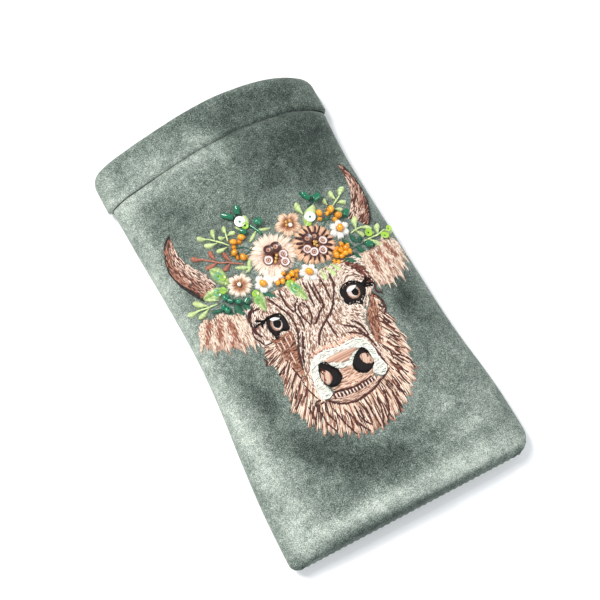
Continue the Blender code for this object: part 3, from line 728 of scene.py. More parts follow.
def pouch():
    """The two halves: velvet, casing, wadding, lining, leaf spring and caps."""
    for word, side in (("front", 1), ("back", -1)):
        velvet = panel(f"{word}_velvet", side, 0, 1.0, "velvet")
        casing = band(f"{word}_band", side)
        for piece in (velvet, casing):
            paint_nap_and_shade(piece)
        padding = panel(f"{word}_wadding", side, 2.1, 1.2, "padding", fine=0.45)
        lining = panel(f"{word}_satin", side, 4.1, 0.3, "lining", fine=0.6)
        finish_piece(velvet, word, f"{word}_panel")
        finish_piece(casing, word, f"{word}_casing")
        finish_piece(padding, word, f"{word}_padding")
        finish_piece(lining, word, f"{word}_lining")
        if side > 0:
            stabiliser()
        leaf = strip_mesh(f"{word}_leaf", side, (-LEAF_END, LEAF_END), 1.9, 0.4,
                          "spring_steel")
        finish_piece(leaf, word, f"{word}_spring_leaf")
        near, far = CAP_REACH
        for end, reach in (("left", (-far, -near)), ("right", (near, far))):
            cap = strip_mesh(f"{word}_cap_{end}", side, reach, 1.7, 1.0, "end_cap", 12)
            finish_piece(cap, word, f"{word}_leaf_cap_{end}")


# ------------------------------------------------------------------ thread


def spread_rows(points, count):
    """Resamples a polyline to count points, evenly along its length."""
    points = np.asarray(points, float)
    gaps = np.linalg.norm(np.diff(points, axis=0), axis=1)
    along = np.concatenate([[0], np.cumsum(gaps)])
    at = np.linspace(0, along[-1], count)
    return np.stack([np.interp(at, along, points[:, k]) for k in range(points.shape[1])], -1)


def smooth_line(points, count):
    """A smooth curve through a few points."""
    points = np.asarray(points, float)
    if len(points) < 3:
        return spread_rows(points, count)
    gaps = np.maximum(np.linalg.norm(np.diff(points, axis=0), axis=1), 1e-6)
    along = np.concatenate([[0], np.cumsum(gaps)])
    at = np.linspace(0, along[-1], count)
    return np.stack([
        curve_through(list(zip(along, points[:, k])), at) for k in range(2)], -1)


def inside(polygon, points):
    """Which points lie inside a polygon."""
    polygon = np.asarray(polygon, float)
    x, y = points[..., 0], points[..., 1]
    hit = np.zeros(x.shape, bool)
    x0, y0 = polygon[-1]
    for x1, y1 in polygon:
        crosses = (y0 > y) != (y1 > y)
        if y1 != y0:
            hit ^= crosses & (x < (x1 - x0) * (y - y0) / (y1 - y0) + x0)
        x0, y0 = x1, y1
    return hit


def closed(points, count=60):
    """A smooth closed outline through a few points."""
    points = [tuple(p) for p in points]
    line = smooth_line(points[-2:] + points + points[:2], count * 2)
    track = spread_rows(line, count * 4)
    away = np.linalg.norm(track - np.array(points[0]), axis=1)
    first = int(np.argmin(away[: count * 2]))
    last = count * 2 + int(np.argmin(away[count * 2:]))
    return track[first:last]


def piece_name(name, nodes):
    """A name for the visual piece that is not the name of the CAD node it stands for."""
    return f"{name}_piece" if name in nodes else name


class Work:
    """Strands of one embroidered piece, gathered and then made into one mesh."""

    SIDES = 5  # of a strand's tube
    TAPER = 0.45  # a strand's width at its ends
    FLAT = 0.8  # a strand's height as a share of its width

    def __init__(self, name, thread, *nodes):
        self.name, self.thread, self.nodes = name, thread, nodes
        self.body = "front"
        self.laid = []

    def add(self, lines, colour, radius, lift=0.12, arch=0.12, sink=1.0):
        """lines: (strands, points, 2) in plan; colour: one, or one per strand or point;
        lift: height of the thread; arch: how much higher its middle stands; sink: how far
        its ends go down into the velvet."""
        lines = np.asarray(lines, float)
        if lines.ndim == 2:
            lines = lines[None]
        if len(lines) == 0:
            return
        count, steps = lines.shape[:2]
        t = np.linspace(0, 1, steps)
        colour = np.asarray(colour, float)
        if colour.ndim == 1:
            colour = colour[None, None, :]
        elif colour.ndim == 2:
            colour = colour[:, None, :]
        colour = np.broadcast_to(colour, (count, steps, 3))
        radius, lift, arch = (
            np.broadcast_to(np.asarray(value, float).reshape(-1, 1), (count, 1))
            for value in (radius, lift, arch))
        ends = np.minimum(1, np.minimum(t, 1 - t) * steps / 1.6)
        width = radius * (self.TAPER + (1 - self.TAPER) * ends)
        height = lift + arch * np.sin(pi * t) - (1 - ends) * (lift + 0.15) * sink
        place, normal = seated(lines[..., 0], lines[..., 1], height)
        self.laid.append((place, normal, colour, width, self.FLAT))

    def build(self):
        """Makes a tube around each strand, with its ends closed."""
        points, faces, uvs, colours = [], [], [], []
        offset, sides = 0, self.SIDES
        turn = np.linspace(0, 2 * pi, sides, endpoint=False)
        for place, normal, colour, width, flat in self.laid:
            along = np.gradient(place, axis=1)
            along /= np.maximum(np.linalg.norm(along, axis=-1, keepdims=True), 1e-9)
            beside = np.cross(along, normal)
            beside /= np.maximum(np.linalg.norm(beside, axis=-1, keepdims=True), 1e-9)
            up = np.cross(beside, along)
            ring = (beside[:, :, None] * np.cos(turn)[:, None]
                    + up[:, :, None] * (flat * np.sin(turn))[:, None])
            body = place[:, :, None] + ring * width[:, :, None, None]
            count, steps = place.shape[:2]
            index = offset + np.arange(count * steps * sides).reshape(count, steps, sides)
            follow = np.roll(index, -1, axis=2)
            quads = np.stack([index[:, :-1], follow[:, :-1], follow[:, 1:], index[:, 1:]], -1)
            for part in (quads.reshape(-1, 4), index[:, 0, ::-1], index[:, -1]):
                faces += part.tolist()
            run = np.concatenate(
                [np.zeros((count, 1)),
                 np.cumsum(np.linalg.norm(np.diff(place, axis=1), axis=-1), 1)], 1)
            uv = np.stack(np.broadcast_arrays(
                run[:, :, None] * 1.2, turn[None, None] / (2 * pi)), -1)
            points.append(body.reshape(-1, 3))
            uvs.append(uv.reshape(-1, 2))
            colours.append(np.repeat(colour.reshape(-1, 3), sides, 0))
            offset += count * steps * sides
        obj = make_mesh(piece_name(self.name, self.nodes), np.concatenate(points), faces,
                        self.thread)
        corners = np.zeros(len(obj.data.loops), int)
        obj.data.loops.foreach_get("vertex_index", corners)
        layer = obj.data.uv_layers.new(name="strand_uv")
        layer.data.foreach_set("uv", np.concatenate(uvs)[corners].astype(np.float32).ravel())
        paint_points(obj, colours)
        finish_piece(obj, self.body, *self.nodes)


def combed(marks):
    """A direction field from (x, y, angle) marks, by inverse distance."""
    marks = np.array(marks, float)
    turn = np.radians(marks[:, 2])
    ways = np.stack([np.cos(turn), np.sin(turn)], -1)

    def field(points):
        gap = np.linalg.norm(points[..., None, :] - marks[:, :2], axis=-1)
        weight = 1 / (gap + 0.5) ** 3
        way = (weight[..., None] * ways).sum(-2)
        return way / np.maximum(np.linalg.norm(way, axis=-1, keepdims=True), 1e-9)

    return field


def strokes(polygon, field, length, spacing, holes, layers, steps=5, sway=0.12):
    """Stitches that fill a polygon along a direction field, cut off at its edges."""
    polygon = np.asarray(polygon, float)
    low, high = polygon.min(0), polygon.max(0)
    count = int(np.prod(high - low) / (length * spacing) * layers)
    seeds = low + (high - low) * RNG.random((count, 2))
    middle = steps  # the seed's place in its track
    angle = RNG.normal(0, sway, (count, 1))
    size = length * RNG.uniform(0.75, 1.25, (count, 1)) / (2 * middle)
    tracks = [seeds]
    for sign in (1, -1):
        at, made = seeds, []
        for _ in range(middle):
            way = field(at)
            turned = np.concatenate(
                [way[:, :1] * np.cos(angle) - way[:, 1:] * np.sin(angle),
                 way[:, :1] * np.sin(angle) + way[:, 1:] * np.cos(angle)], 1)
            at = at + sign * size * turned
            made.append(at)
        tracks = tracks + made if sign > 0 else made[::-1] + tracks
    tracks = np.stack(tracks, 1)
    good = inside(polygon, tracks)
    for hole in holes:
        good &= ~inside(hole, tracks)
    keep = good[:, middle]
    tracks, good = tracks[keep], good[keep]
    after = np.cumprod(good[:, middle:], 1).sum(1) - 1
    before = np.cumprod(good[:, middle::-1], 1).sum(1) - 1
    keep = (after + before) >= 2
    tracks, after, before = tracks[keep], after[keep], before[keep]
    t = np.linspace(0, 1, steps)
    at = middle - before[:, None] + (before + after)[:, None] * t
    low_index = np.floor(at).astype(int)
    high_index = np.minimum(low_index + 1, 2 * middle)
    part = (at - low_index)[..., None]
    rows = np.arange(len(tracks))[:, None]
    return tracks[rows, low_index] * (1 - part) + tracks[rows, high_index] * part


def curtain(roots, tips, count, layers, steps, share, bow):
    """Stitches that run from a line of roots to a line of tips, in overlapping lengths."""
    roots, tips = spread_rows(roots, count), spread_rows(tips, count)
    made = []
    for layer in range(layers):
        s = np.clip(np.arange(count) + RNG.normal(0, 0.6, count), 0, count - 1)
        low = np.floor(s).astype(int)
        high = np.minimum(low + 1, count - 1)
        part = (s - low)[:, None]
        start = roots[low] * (1 - part) + roots[high] * part
        end = tips[low] * (1 - part) + tips[high] * part
        middle = layer / max(layers - 1, 1) * (1 - share) + RNG.uniform(-0.06, 0.06, count)
        a = np.clip(middle, 0, 1)[:, None]
        b = np.clip(middle + share, 0, 1)[:, None]
        t = np.linspace(0, 1, steps)[None, :, None]
        run = a[:, None] * (1 - t) + b[:, None] * t
        line = start[:, None] * (1 - run) + end[:, None] * run
        side = (end - start)[:, None][..., ::-1] * np.array([-1, 1])
        line = line + side * bow * np.sin(pi * run)
        made.append(line)
    return np.concatenate(made)


def spiky(tips, inner, depth):
    """A line through tips with a valley between each pair, drawn back towards inner."""
    tips = np.asarray(tips, float)
    back = spread_rows(inner, len(tips))
    line = [tips[0]]
    for i in range(1, len(tips)):
        middle = (tips[i - 1] + tips[i]) / 2
        toward = (back[i - 1] + back[i]) / 2
        line += [middle + (toward - middle) * depth, tips[i]]
    return np.array(line)


def across_shape(a, b, half, shape, slant, spacing, bend=0.0, steps=6):
    """Satin stitches across a leaf from a to b; half is its half width and shape its form."""
    a, b = np.array(a, float), np.array(b, float)
    axis = b - a
    length = np.hypot(*axis)
    axis = axis / length
    side = np.array([-axis[1], axis[0]])
    count = max(int(length / spacing), 4)
    t = (np.arange(count) + 0.5) / count
    width = half * shape(t)
    centre = a + axis * (t * length)[:, None] + side * (bend * np.sin(pi * t))[:, None]
    lean = axis * slant
    left = centre + side * width[:, None] - lean * width[:, None]
    right = centre - side * width[:, None] + lean * width[:, None]
    s = np.linspace(0, 1, steps)[None, :, None]
    return left[:, None] * (1 - s) + right[:, None] * s


def leaf_form(t):
    return np.sin(pi * np.clip(t, 0, 1) ** 0.85) ** 0.7


def drop_form(t):
    """A bud: narrow at its stem and round at its end."""
    return np.sqrt(np.clip(np.sin(pi * np.clip(t, 0, 1) ** 1.6), 0, 1)) * (0.35 + 0.65 * t)


def varied(colour, count, amount):
    """count colours around one, lighter and darker together."""
    shift = RNG.normal(0, amount, (count, 1)) + RNG.normal(0, amount * 0.25, (count, 3))
    return np.clip(np.asarray(colour, float) + shift, 0, 255)


def mixed(palette, weights, count, amount=7):
    """count colours drawn from a palette by weight, each a little lighter or darker."""
    chosen = RNG.choice(len(palette), count, p=np.array(weights) / sum(weights))
    return np.clip(np.asarray(palette, float)[chosen]
                   + RNG.normal(0, amount, (count, 1)), 0, 255)


CREAM = (240, 219, 204)
RUST = (170, 106, 80)
DARK = (66, 15, 6)
BLACK = (9, 7, 7)
WHITE = (246, 244, 238)
PEACH = (224, 178, 146)
PALE_LEAF = (202, 220, 156)
AMBER = (244, 164, 28)
PEARL = (248, 248, 250)
PLUM = (66, 30, 24)
GOLD = (206, 160, 84)
LIME = (152, 196, 58)


def dark_lines(work, lines, colour=DARK, radius=0.3, lift=0.42):
    """Outline stitching: each line is a rope of overlapping stitches."""
    for line in lines:
        track = smooth_line(line, 40)
        length = np.linalg.norm(np.diff(track, axis=0), axis=1).sum()
        pieces = max(int(length / 1.7), 1)
        track = spread_rows(track, pieces * 6 + 1)
        stitches = [track[max(i * 6 - 1, 0): i * 6 + 8] for i in range(pieces)]
        stitches = np.array([spread_rows(stitch, 7) for stitch in stitches])
        stitches = stitches + RNG.normal(0, 0.05, (len(stitches), 1, 2))
        thin = np.ones(len(stitches))
        if pieces > 2:
            thin[0] = thin[-1] = 0.75
        work.add(stitches, varied(colour, len(stitches), 6), radius * thin, lift, 0.08,
                 sink=0.35)
        work.add(stitches + RNG.normal(0, 0.12, (len(stitches), 1, 2)),
                 varied(colour, len(stitches), 10), radius * 0.7 * thin, lift - 0.08, 0.1,
                 sink=0.5)


def rows_in(polygons, angle, spacing, steps=9):
    """Parallel lines across an area, left out where the polygons after the first lie."""
    turn = np.radians(angle)
    spin = np.array([[cos(turn), -sin(turn)], [sin(turn), cos(turn)]])
    shapes = [np.asarray(polygon, float) @ spin for polygon in polygons]
    low, high = shapes[0][:, 1].min(), shapes[0][:, 1].max()
    made = []
    for level in np.arange(low + spacing / 2, high, spacing):
        level += RNG.uniform(-0.1, 0.1) * spacing
        hits = []
        for shape in shapes:
            follow = np.roll(shape, -1, axis=0)
            cuts = (shape[:, 1] > level) != (follow[:, 1] > level)
            a, b = shape[cuts], follow[cuts]
            hits += (a[:, 0] + (b[:, 0] - a[:, 0]) * (level - a[:, 1])
                     / (b[:, 1] - a[:, 1])).tolist()
        hits.sort()
        for left, right in zip(hits[::2], hits[1::2]):
            if right - left > 0.3:
                x = np.linspace(left, right, steps)
                made.append(np.stack([x, np.full(steps, level)], -1) @ spin.T)
    return np.array(made).reshape(-1, steps, 2)


def ground(work, polygons, colour, lift=0.1, across=0, amount=6):
    """An under layer of long rows, which hides the velvet between the stitches. Its colour, darker
    than the stitches over it, is painted shade in the gaps between them.
    """
    rows = rows_in(polygons, across, 0.42)
    work.add(rows, varied(colour, len(rows), amount), 0.27, lift, 0)


def fill(work, outline, marks, colours, length, spacing, holes=(), *, under, layers,
         lift=0.34, across=0, radius=0.2, sway=0.12, rough=0.12):
    """Embroidered area: an under layer, and stitches combed over it. colours is a palette
    and its weights, or a function of the stitches' middles."""
    # under is darker than the stitches: painted shade in the gaps between them
    ground(work, [outline, *holes], under, lift * 0.35, across, 5)
    lines = strokes(outline, combed(marks), length, spacing, holes, layers, sway=sway)
    paint = colours(lines[:, 2]) if callable(colours) else mixed(*colours, len(lines))
    work.add(lines, paint, radius * RNG.uniform(0.85, 1.15, len(lines)),
             lift + RNG.uniform(-rough, rough, len(lines)), 0.1)


def flower(work, centre, outer, petals, inner_colour, outer_colour, hole, notch, turn, *,
           puff, lift, amount, spacing=0.3, narrow=1.0, edge=None, heart=0.22):
    """Petals of satin stitches that fan out from the middle. hole is where they start and
    heart where the inner colour ends, as shares of outer; notch is how far the outline is
    drawn in between petals; edge is a colour along each petal's sides."""
    count = int(2 * pi * outer * 0.8 / spacing)
    theta = np.linspace(0, 2 * pi, count, endpoint=False) + turn
    phase = ((theta - turn) * petals / (2 * pi) + 0.5) % 1 * 2 - 1
    which = np.floor((theta - turn) * petals / (2 * pi) + 0.5).astype(int) % petals
    grow = 1 + RNG.normal(0, 0.05, petals)[which] + RNG.normal(0, 0.035, count)
    keep = np.abs(phase) <= narrow
    theta, phase, grow = theta[keep], phase[keep], grow[keep]
    reach = outer * grow * (1 - notch * np.abs(phase / narrow) ** 2.4)
    t = np.linspace(hole, 1, 7)[None, :]
    lean = -phase[:, None] * (1 - narrow) * 0.5 * (2 * pi / petals) * t
    bearing = theta[:, None] + lean
    run = reach[:, None] * t
    x = centre[0] + run * np.cos(bearing)
    y = centre[1] + run * np.sin(bearing)
    blend = np.clip((t - heart) / 0.3, 0, 1)[..., None]
    tint = RNG.normal(0, amount, (len(theta), 1, 1))
    colour = np.array(inner_colour) * (1 - blend) + np.array(outer_colour) * blend
    if edge is not None:
        side = np.clip((np.abs(phase / narrow) - 0.72) / 0.2, 0, 1)[:, None, None]
        side = side * np.clip(1.25 - t, 0, 1)[..., None] * 1.3
        side = np.clip(side, 0, 1)
        colour = colour * (1 - side) + np.array(edge) * side
    high = lift + puff * (1 - np.abs(phase / narrow) ** 2)
    work.add(np.stack([x, y], -1), np.clip(colour + tint, 0, 255), 0.2,
             high * 0.75, high * 0.3)
    # the cloth side of each petal: a ring of shorter stitches that closes the gaps, its colour
    # darkened as painted shade between the stitches
    work.add(np.stack([x, y], -1) * 0.985 + np.array(centre) * 0.015,
             np.clip(colour * 0.86 + tint, 0, 255), 0.28, high * 0.3, high * 0.2)


def satin(work, a, b, half, form, colour, lift, slant, bend=0.0, amount=7, vein=None):
    """A leaf of satin stitches, higher in the middle."""
    lines = across_shape(a, b, half, form, slant, 0.34, bend)
    paint = varied(colour, len(lines), amount)
    work.add(lines, paint, 0.19, lift * 0.6, lift * 0.7 + half * 0.12)
    # the under layer in the satin's colours at two-thirds: painted shade in the gaps between the
    # stitches
    work.add(lines, paint * 0.66, 0.27, lift * 0.2, lift * 0.35)
    if vein is not None:
        a, b = np.array(a, float), np.array(b, float)
        stem = np.stack([a + (b - a) * t for t in np.linspace(0.04, 0.9, 9)])
        side = np.array([-(b - a)[1], (b - a)[0]]) / max(np.hypot(*(b - a)), 1e-6)
        stem = stem + side * (bend * np.sin(pi * np.linspace(0.04, 0.9, 9)))[:, None]
        work.add(stem, vein, 0.14, lift * 1.15 + half * 0.1, 0.05)


def add_buds(work, buds, colour, half=0.95):
    """Buds from foot to tip: each is (x0, y0, x1, y1), and its half width unless it is half."""
    for bud in buds:
        wide = bud[4] if len(bud) > 4 else half
        satin(work, bud[:2], bud[2:4], wide * 1.42, drop_form, colour, 0.5, 0.35, amount=9)


# ------------------------------------------------------------------ the embroidered head

HORN_OUT_LEFT = [(-35.5, 18), (-38.4, 23), (-40.3, 27.2), (-41.4, 31), (-41.8, 35), (-41.5, 39),
                 (-40.2, 42.5), (-38.2, 45.2), (-36, 46.8)]
HORN_IN_LEFT = [(-35.8, 45.5), (-36.2, 42), (-36.0, 39), (-34.8, 34.5), (-33, 30.5),
                (-30.2, 26), (-28.6, 21), (-30, 19.6), (-35, 18.6)]
HORN_OUT_RIGHT = [(35, 17), (37.6, 19.4), (39.2, 23.5), (40.4, 27.5), (40.5, 31), (40.2, 36),
                  (39.4, 40), (38.4, 43), (37, 45.5)]
HORN_IN_RIGHT = [(37, 43.5), (36.8, 39), (36.2, 34.5), (34.4, 30), (32.2, 26.8), (28.6, 22.2),
                 (31.6, 20.8), (33, 18.3)]
# Locks of an ear: (one end of the root, the other end, tip, bow)
EAR_LOCKS_LEFT = [
    ((-42.6, 8.6), (-38.2, 12), (-45.3, 0.8), 0.8),
    ((-41.6, 10.6), (-38.8, 11.8), (-43, 0), 0.6),
    ((-40.6, 11.4), (-36.4, 10.8), (-40.9, -3.0), 0.6),
    ((-38, 11.6), (-35.6, 10), (-38.9, -2.4), 0.3),
    ((-37, 10.2), (-32.6, 11), (-36.4, -5.8), 0.5),
    ((-34.4, 11), (-31.4, 10.6), (-33.8, -4.6), 0.2),
    ((-33, 10.6), (-28.8, 8.6), (-31.1, -8.8), 0.4),
    ((-30.4, 8.6), (-27.6, 8), (-29, -6.6), 0.1),
    ((-29, 8.2), (-25.4, 7.2), (-27.1, -9.4), 0.2),
    ((-27, 8), (-25, 6), (-25.6, -7.4), 0)]
EAR_BACK_LEFT = [(-44.4, 2.2), (-42, 8), (-38.6, 11), (-36, 9), (-32, 9.8), (-29, 7.2),
                 (-25.8, 6.8), (-26, -6), (-29, -5), (-31.2, -6.6), (-34.4, -3), (-36.4, -4),
                 (-39, -1.4), (-41, -1.4), (-43, 1)]
EAR_LOCKS_RIGHT = [
    ((25.4, 8.6), (28, 7.6), (26.6, -8.6), 0), ((26.8, 7.6), (30, 8.8), (28.4, -7.6), -0.1),
    ((28.8, 8), (31.8, 8), (30.3, -9.9), -0.1), ((30.8, 8), (34, 9.2), (32.7, -10), -0.3),
    ((33, 8.6), (36, 9), (34.9, -7.4), -0.4), ((34.8, 9), (37.6, 11.2), (37.5, -9.8), -0.6),
    ((36.8, 10.2), (39.6, 9.6), (39.4, -5), -0.6), ((38.6, 9.6), (41.2, 10), (40.8, -5.8), -0.7),
    ((40.4, 9.8), (42.4, 8), (42.9, -3.0), -0.8), ((41.4, 9), (42.8, 7), (44.0, 0.6), -0.8)]
EAR_BACK_RIGHT = [(25.8, 7.6), (29, 7.6), (33, 8), (36.4, 9.6), (40.6, 9), (42.6, 6.4),
                  (43.2, 0), (42, -2), (40, -3.4), (37.6, -7), (35, -5.6), (32.6, -7.6),
                  (30, -7.4), (26.4, -6.4)]
FACE = [(-26, 7.6), (-26.8, 2), (-26.2, -4), (-25.6, -8), (-21.5, -9), (-20.6, -8),
        (-12, -8.2), (-12.4, -12), (-14, -17), (-15.3, -24), (-15.6, -30), (-16, -36.2),
        (-13.6, -35.8), (-13.4, -30), (-12.5, -25.4), (-10.8, -22.3), (-8.8, -21.1),
        (-4, -20.8), (0, -21.8), (5, -21.6), (8.8, -21.8), (10.8, -23.6), (12, -27),
        (12.2, -32), (13, -36.4),
        (15.8, -35.4), (15.4, -28), (14.4, -22), (15.6, -16), (18, -12.6), (21, -9.4),
        (23.5, -7), (25.8, -4), (26, 2), (25.2, 8), (20, 8.8), (8, 9), (-8, 9.2), (-20, 8.6)]
CHEEK_LEFT = [(-20.8, -5), (-19, -7.6), (-11.8, -7.6), (-12.2, -12), (-13.8, -17),
              (-15, -24), (-16, -30), (-18, -25), (-19.4, -18), (-20.6, -10)]
CHEEK_RIGHT = [(22.5, -8), (20, -11), (16.4, -15), (15, -20), (14.5, -26), (16, -28.4),
               (18, -25.4), (20, -21), (23, -17), (24, -12)]
# Which way the face's hair lies: (x, y, angle)
FACE_MARKS = [
    (-24, 6, 70), (-26, -2, 92), (-22, 4, 60), (-18, 6, 30), (-13, 6, 118), (-10, 0, 100),
    (-6, 6, 92), (-3, 0, 95), (1, 5, 90), (5, 4, 88), (10, 5, 84), (12, 1, 70), (16, 6, 20),
    (20, 4, -35), (23, 0, -65), (24, -5, 80), (8, -4, 60), (0, -5, 60), (-6, -8, 75),
    (-10, -6, 92), (-13, -14, 70), (-8, -14, 68), (-2, -13, 80), (4, -12, 98), (9, -12, 118),
    (13, -13, 128), (20, -9, 45), (-4, -18, 60), (2, -18, 90), (8, -18, 120), (-12, -20, 75),
    (12, -21, 110), (-15, -30, 88), (14.4, -30, 92), (-20, -1, 100), (11, -7, 95)]
MUZZLE_RIMS = [
    [(-14.2, -36.2), (-13.9, -30), (-12.9, -25), (-11, -22.1), (-8.6, -20.9), (-4, -20.6),
     (0, -21.5), (5, -21.3), (8.6, -21.6), (10.9, -23.4), (12.2, -27), (12.5, -32), (13.3, -36.2),
     (10.8, -38.2), (9.3, -37.2)],
    [(-14.2, -36.2), (-11.4, -36.7), (-9.6, -35.6)],
]
LEFT_EYE = (-15.7, -3.1)
RIGHT_EYE = (16.2, -4.8)


def oval(centre, wide, high, angle=0.0, count=20):
    t = np.linspace(0, 2 * pi, count, endpoint=False)
    turn = np.radians(angle)
    x, y = wide * np.cos(t), high * np.sin(t)
    return np.stack([centre[0] + x * cos(turn) - y * sin(turn),
                     centre[1] + x * sin(turn) + y * cos(turn)], -1)


def horn(name, outer, inner, marks, dark_side, black):
    """A horn: brown by its outer edge, cream inside, with black lines along its back; the
    higher dark_side is, the further its brown reaches in."""
    work = Work(name, "thread_brown", name)
    outline = np.array(list(outer) + list(inner))
    wide = 6.5

    def paint(at):
        depth = distance_to_line(at[:, 0], at[:, 1], outer)
        reach = np.clip(wide - np.abs(at[:, 1] - 22) * 0.11, 2.4, wide)
        share = np.clip(depth / reach + RNG.normal(0, 0.22, len(at)) - dark_side, 0, 1)[:, None]
        brown, pale = np.array((160, 102, 80)), np.array((238, 212, 194))
        colour = brown * (1 - share) + pale * share
        streak = RNG.random((len(at), 1))
        colour = np.where(streak < 0.19, colour * 0.56, colour)
        colour = np.where(streak > 0.92, np.array((214, 180, 160)), colour)
        return np.clip(colour + RNG.normal(0, 9, (len(at), 1)), 0, 255)

    fill(work, outline, marks, paint, 2.5, 0.36, lift=0.4, under=(92, 50, 36), layers=1.8,
         across=10, sway=0.12, rough=0.2)
    for line, radius in black:
        dark_lines(work, [line], BLACK, radius, 0.5)
    work.build()


def hanging(locks, density=5.5, steps=9):
    """Hair in pointed locks: each lock is (root a, root b, tip, bow), and ends in its tip."""
    made, places = [], []
    for (ax, ay), (bx, by), (tx, ty), bow in locks:
        a, b, tip = np.array((ax, ay)), np.array((bx, by)), np.array((tx, ty))
        middle = (a + b) / 2
        reach = np.hypot(*(tip - middle))
        count = int(np.hypot(*(b - a)) * density)
        side = np.array([-(tip - middle)[1], (tip - middle)[0]]) / reach
        for low, high in ((0, 0.45), (0.2, 0.65), (0.42, 0.88), (0.6, 1.0)):
            s = RNG.uniform(0, 1, (count, 1, 1))
            off = np.abs(2 * s - 1)
            stop = 1 - 0.22 * off**1.5
            t = (low + (high - low) * np.linspace(0, 1, steps)[None, :, None]
                 + RNG.uniform(-0.05, 0.05, (count, 1, 1)))
            t = np.clip(t, 0, 1) * stop
            root = a + (b - a) * s
            end = tip + (root - middle) * 0.3
            line = root * (1 - t**1.5) + end * t**1.5
            straight = root + (tip - middle) * t
            line = line * 0.5 + (straight + (end - root - (tip - middle)) * t**2.6) * 0.5
            made.append(line + side * bow * np.sin(pi * t))
            places.append(np.full(count, low))
    return np.concatenate(made), np.concatenate(places)


def ear(name, locks, back, bands):
    """An ear of hanging hair, in cream with broad brown bands: each is (x, y, half width,
    half height, slope)."""
    work = Work(name, "thread_pink", name)

    def paint(at):
        share = sum(np.exp(-(((at[..., 0] - x - (at[..., 1] - y) * slope) / (1.45 * wide)) ** 4)
                           - ((at[..., 1] - y) / tall) ** 4)
                    for x, y, wide, tall, slope in bands)
        chance = RNG.random(share.shape) < np.clip(share * 0.93, 0.03, 1)
        pale = mixed([(236, 218, 200), (220, 196, 175), (188, 156, 132), (128, 84, 62)],
                     [5, 3.4, 2.4, 1.3], share.size, 9)
        brown = mixed([(162, 102, 76), (140, 82, 60), (96, 46, 32)], [4, 3, 1.2], share.size, 8)
        return np.where(chance[..., None], brown.reshape(at.shape[:-1] + (3,)),
                        pale.reshape(at.shape[:-1] + (3,)))

    ground(work, [back], (196, 160, 140))
    lines, depth = hanging(locks)
    work.add(lines, paint(lines), 0.19,
             0.52 - 0.28 * depth + RNG.uniform(-0.1, 0.1, len(lines)), 0.14)
    work.build()


def eye(name, outline, rings, glint, lashes):
    """An eye: solid black behind, a pale iris, its pupil, a white glint and lashes."""
    work = Work(name, "thread_black", name)
    lines = rows_in([closed(outline)], 82, 0.25, 9)
    work.add(lines, varied((24, 18, 18), len(lines), 4), 0.24, 0.6, 0.12, sink=0.3)
    dark_lines(work, [[*outline, outline[0]]], BLACK, 0.3, 0.56)
    for place, wide, high, colour, lift in rings:
        lines = rows_in([oval(place, wide, high)], 5, 0.24, 7)
        work.add(lines, varied(colour, len(lines), 7), 0.2, lift, 0.1, sink=0.2)
    a, b, half = glint
    lines = across_shape(a, b, half, leaf_form, 0.1, 0.22)
    work.add(lines, (252, 252, 252), 0.2, 1.25, 0.1, sink=0.1)
    dark_lines(work, lashes, BLACK, 0.44, 0.66)
    work.build()


def horns():
    horn("left_horn", HORN_OUT_LEFT, HORN_IN_LEFT,
         [(-35, 20, 122), (-30, 22, 116), (-38, 27, 112), (-33, 29, 112), (-40.5, 33, 98),
          (-35.5, 35, 102), (-40, 39.5, 82), (-37, 41, 84), (-37.5, 45, 55)], 0.12,
         [([(-35.4, 18.2), (-37.2, 21), (-38.8, 24.4), (-40.2, 27.4), (-41, 30)], 0.62),
          ([(-35.9, 18.6), (-38.0, 22.6), (-39.6, 26.2)], 0.5),
          ([(-40.8, 29.5), (-41.7, 33.5), (-41.7, 37)], 0.3),
          ([(-41.5, 37.6), (-40.2, 41.2)], 0.24),
          ([(-39.9, 42.4), (-38.4, 44.6), (-36, 46.5)], 0.55),
          ([(-37, 45.4), (-35.7, 47)], 0.32)])
    horn("right_horn", HORN_OUT_RIGHT, HORN_IN_RIGHT,
         [(31, 22, 36), (34, 19.5, 32), (35, 24, 40), (38, 24, 52), (35, 28, 48), (39, 29, 66),
          (37.5, 33, 76), (38.5, 37, 92), (38, 41, 100)], 0.0,
         [([(35, 17.2), (37.2, 19.4), (38.6, 22.6)], 0.55),
          ([(38.6, 22.6), (39.8, 26.4), (40.4, 29.5)], 0.42),
          ([(40.4, 30), (40.3, 34.5), (39.8, 38.5)], 0.34),
          ([(39.6, 38.5), (38.6, 42), (37, 45.2)], 0.42)])


def ears():
    ear("left_ear", EAR_LOCKS_LEFT, EAR_BACK_LEFT,
        [(-39.3, 6.6, 0.95, 5.2, 0.62), (-35.4, 4.8, 1.0, 4.6, 0.38),
         (-31.2, 1.6, 0.95, 6.4, 0.03), (-33.9, -2.6, 0.5, 2.4, 0.1)])
    ear("right_ear", EAR_LOCKS_RIGHT, EAR_BACK_RIGHT,
        [(29.7, 2.0, 0.85, 5.0, 0.08), (34.0, 2.2, 0.8, 5.4, -0.16),
         (38.1, 4.6, 0.75, 3.6, -0.28)])


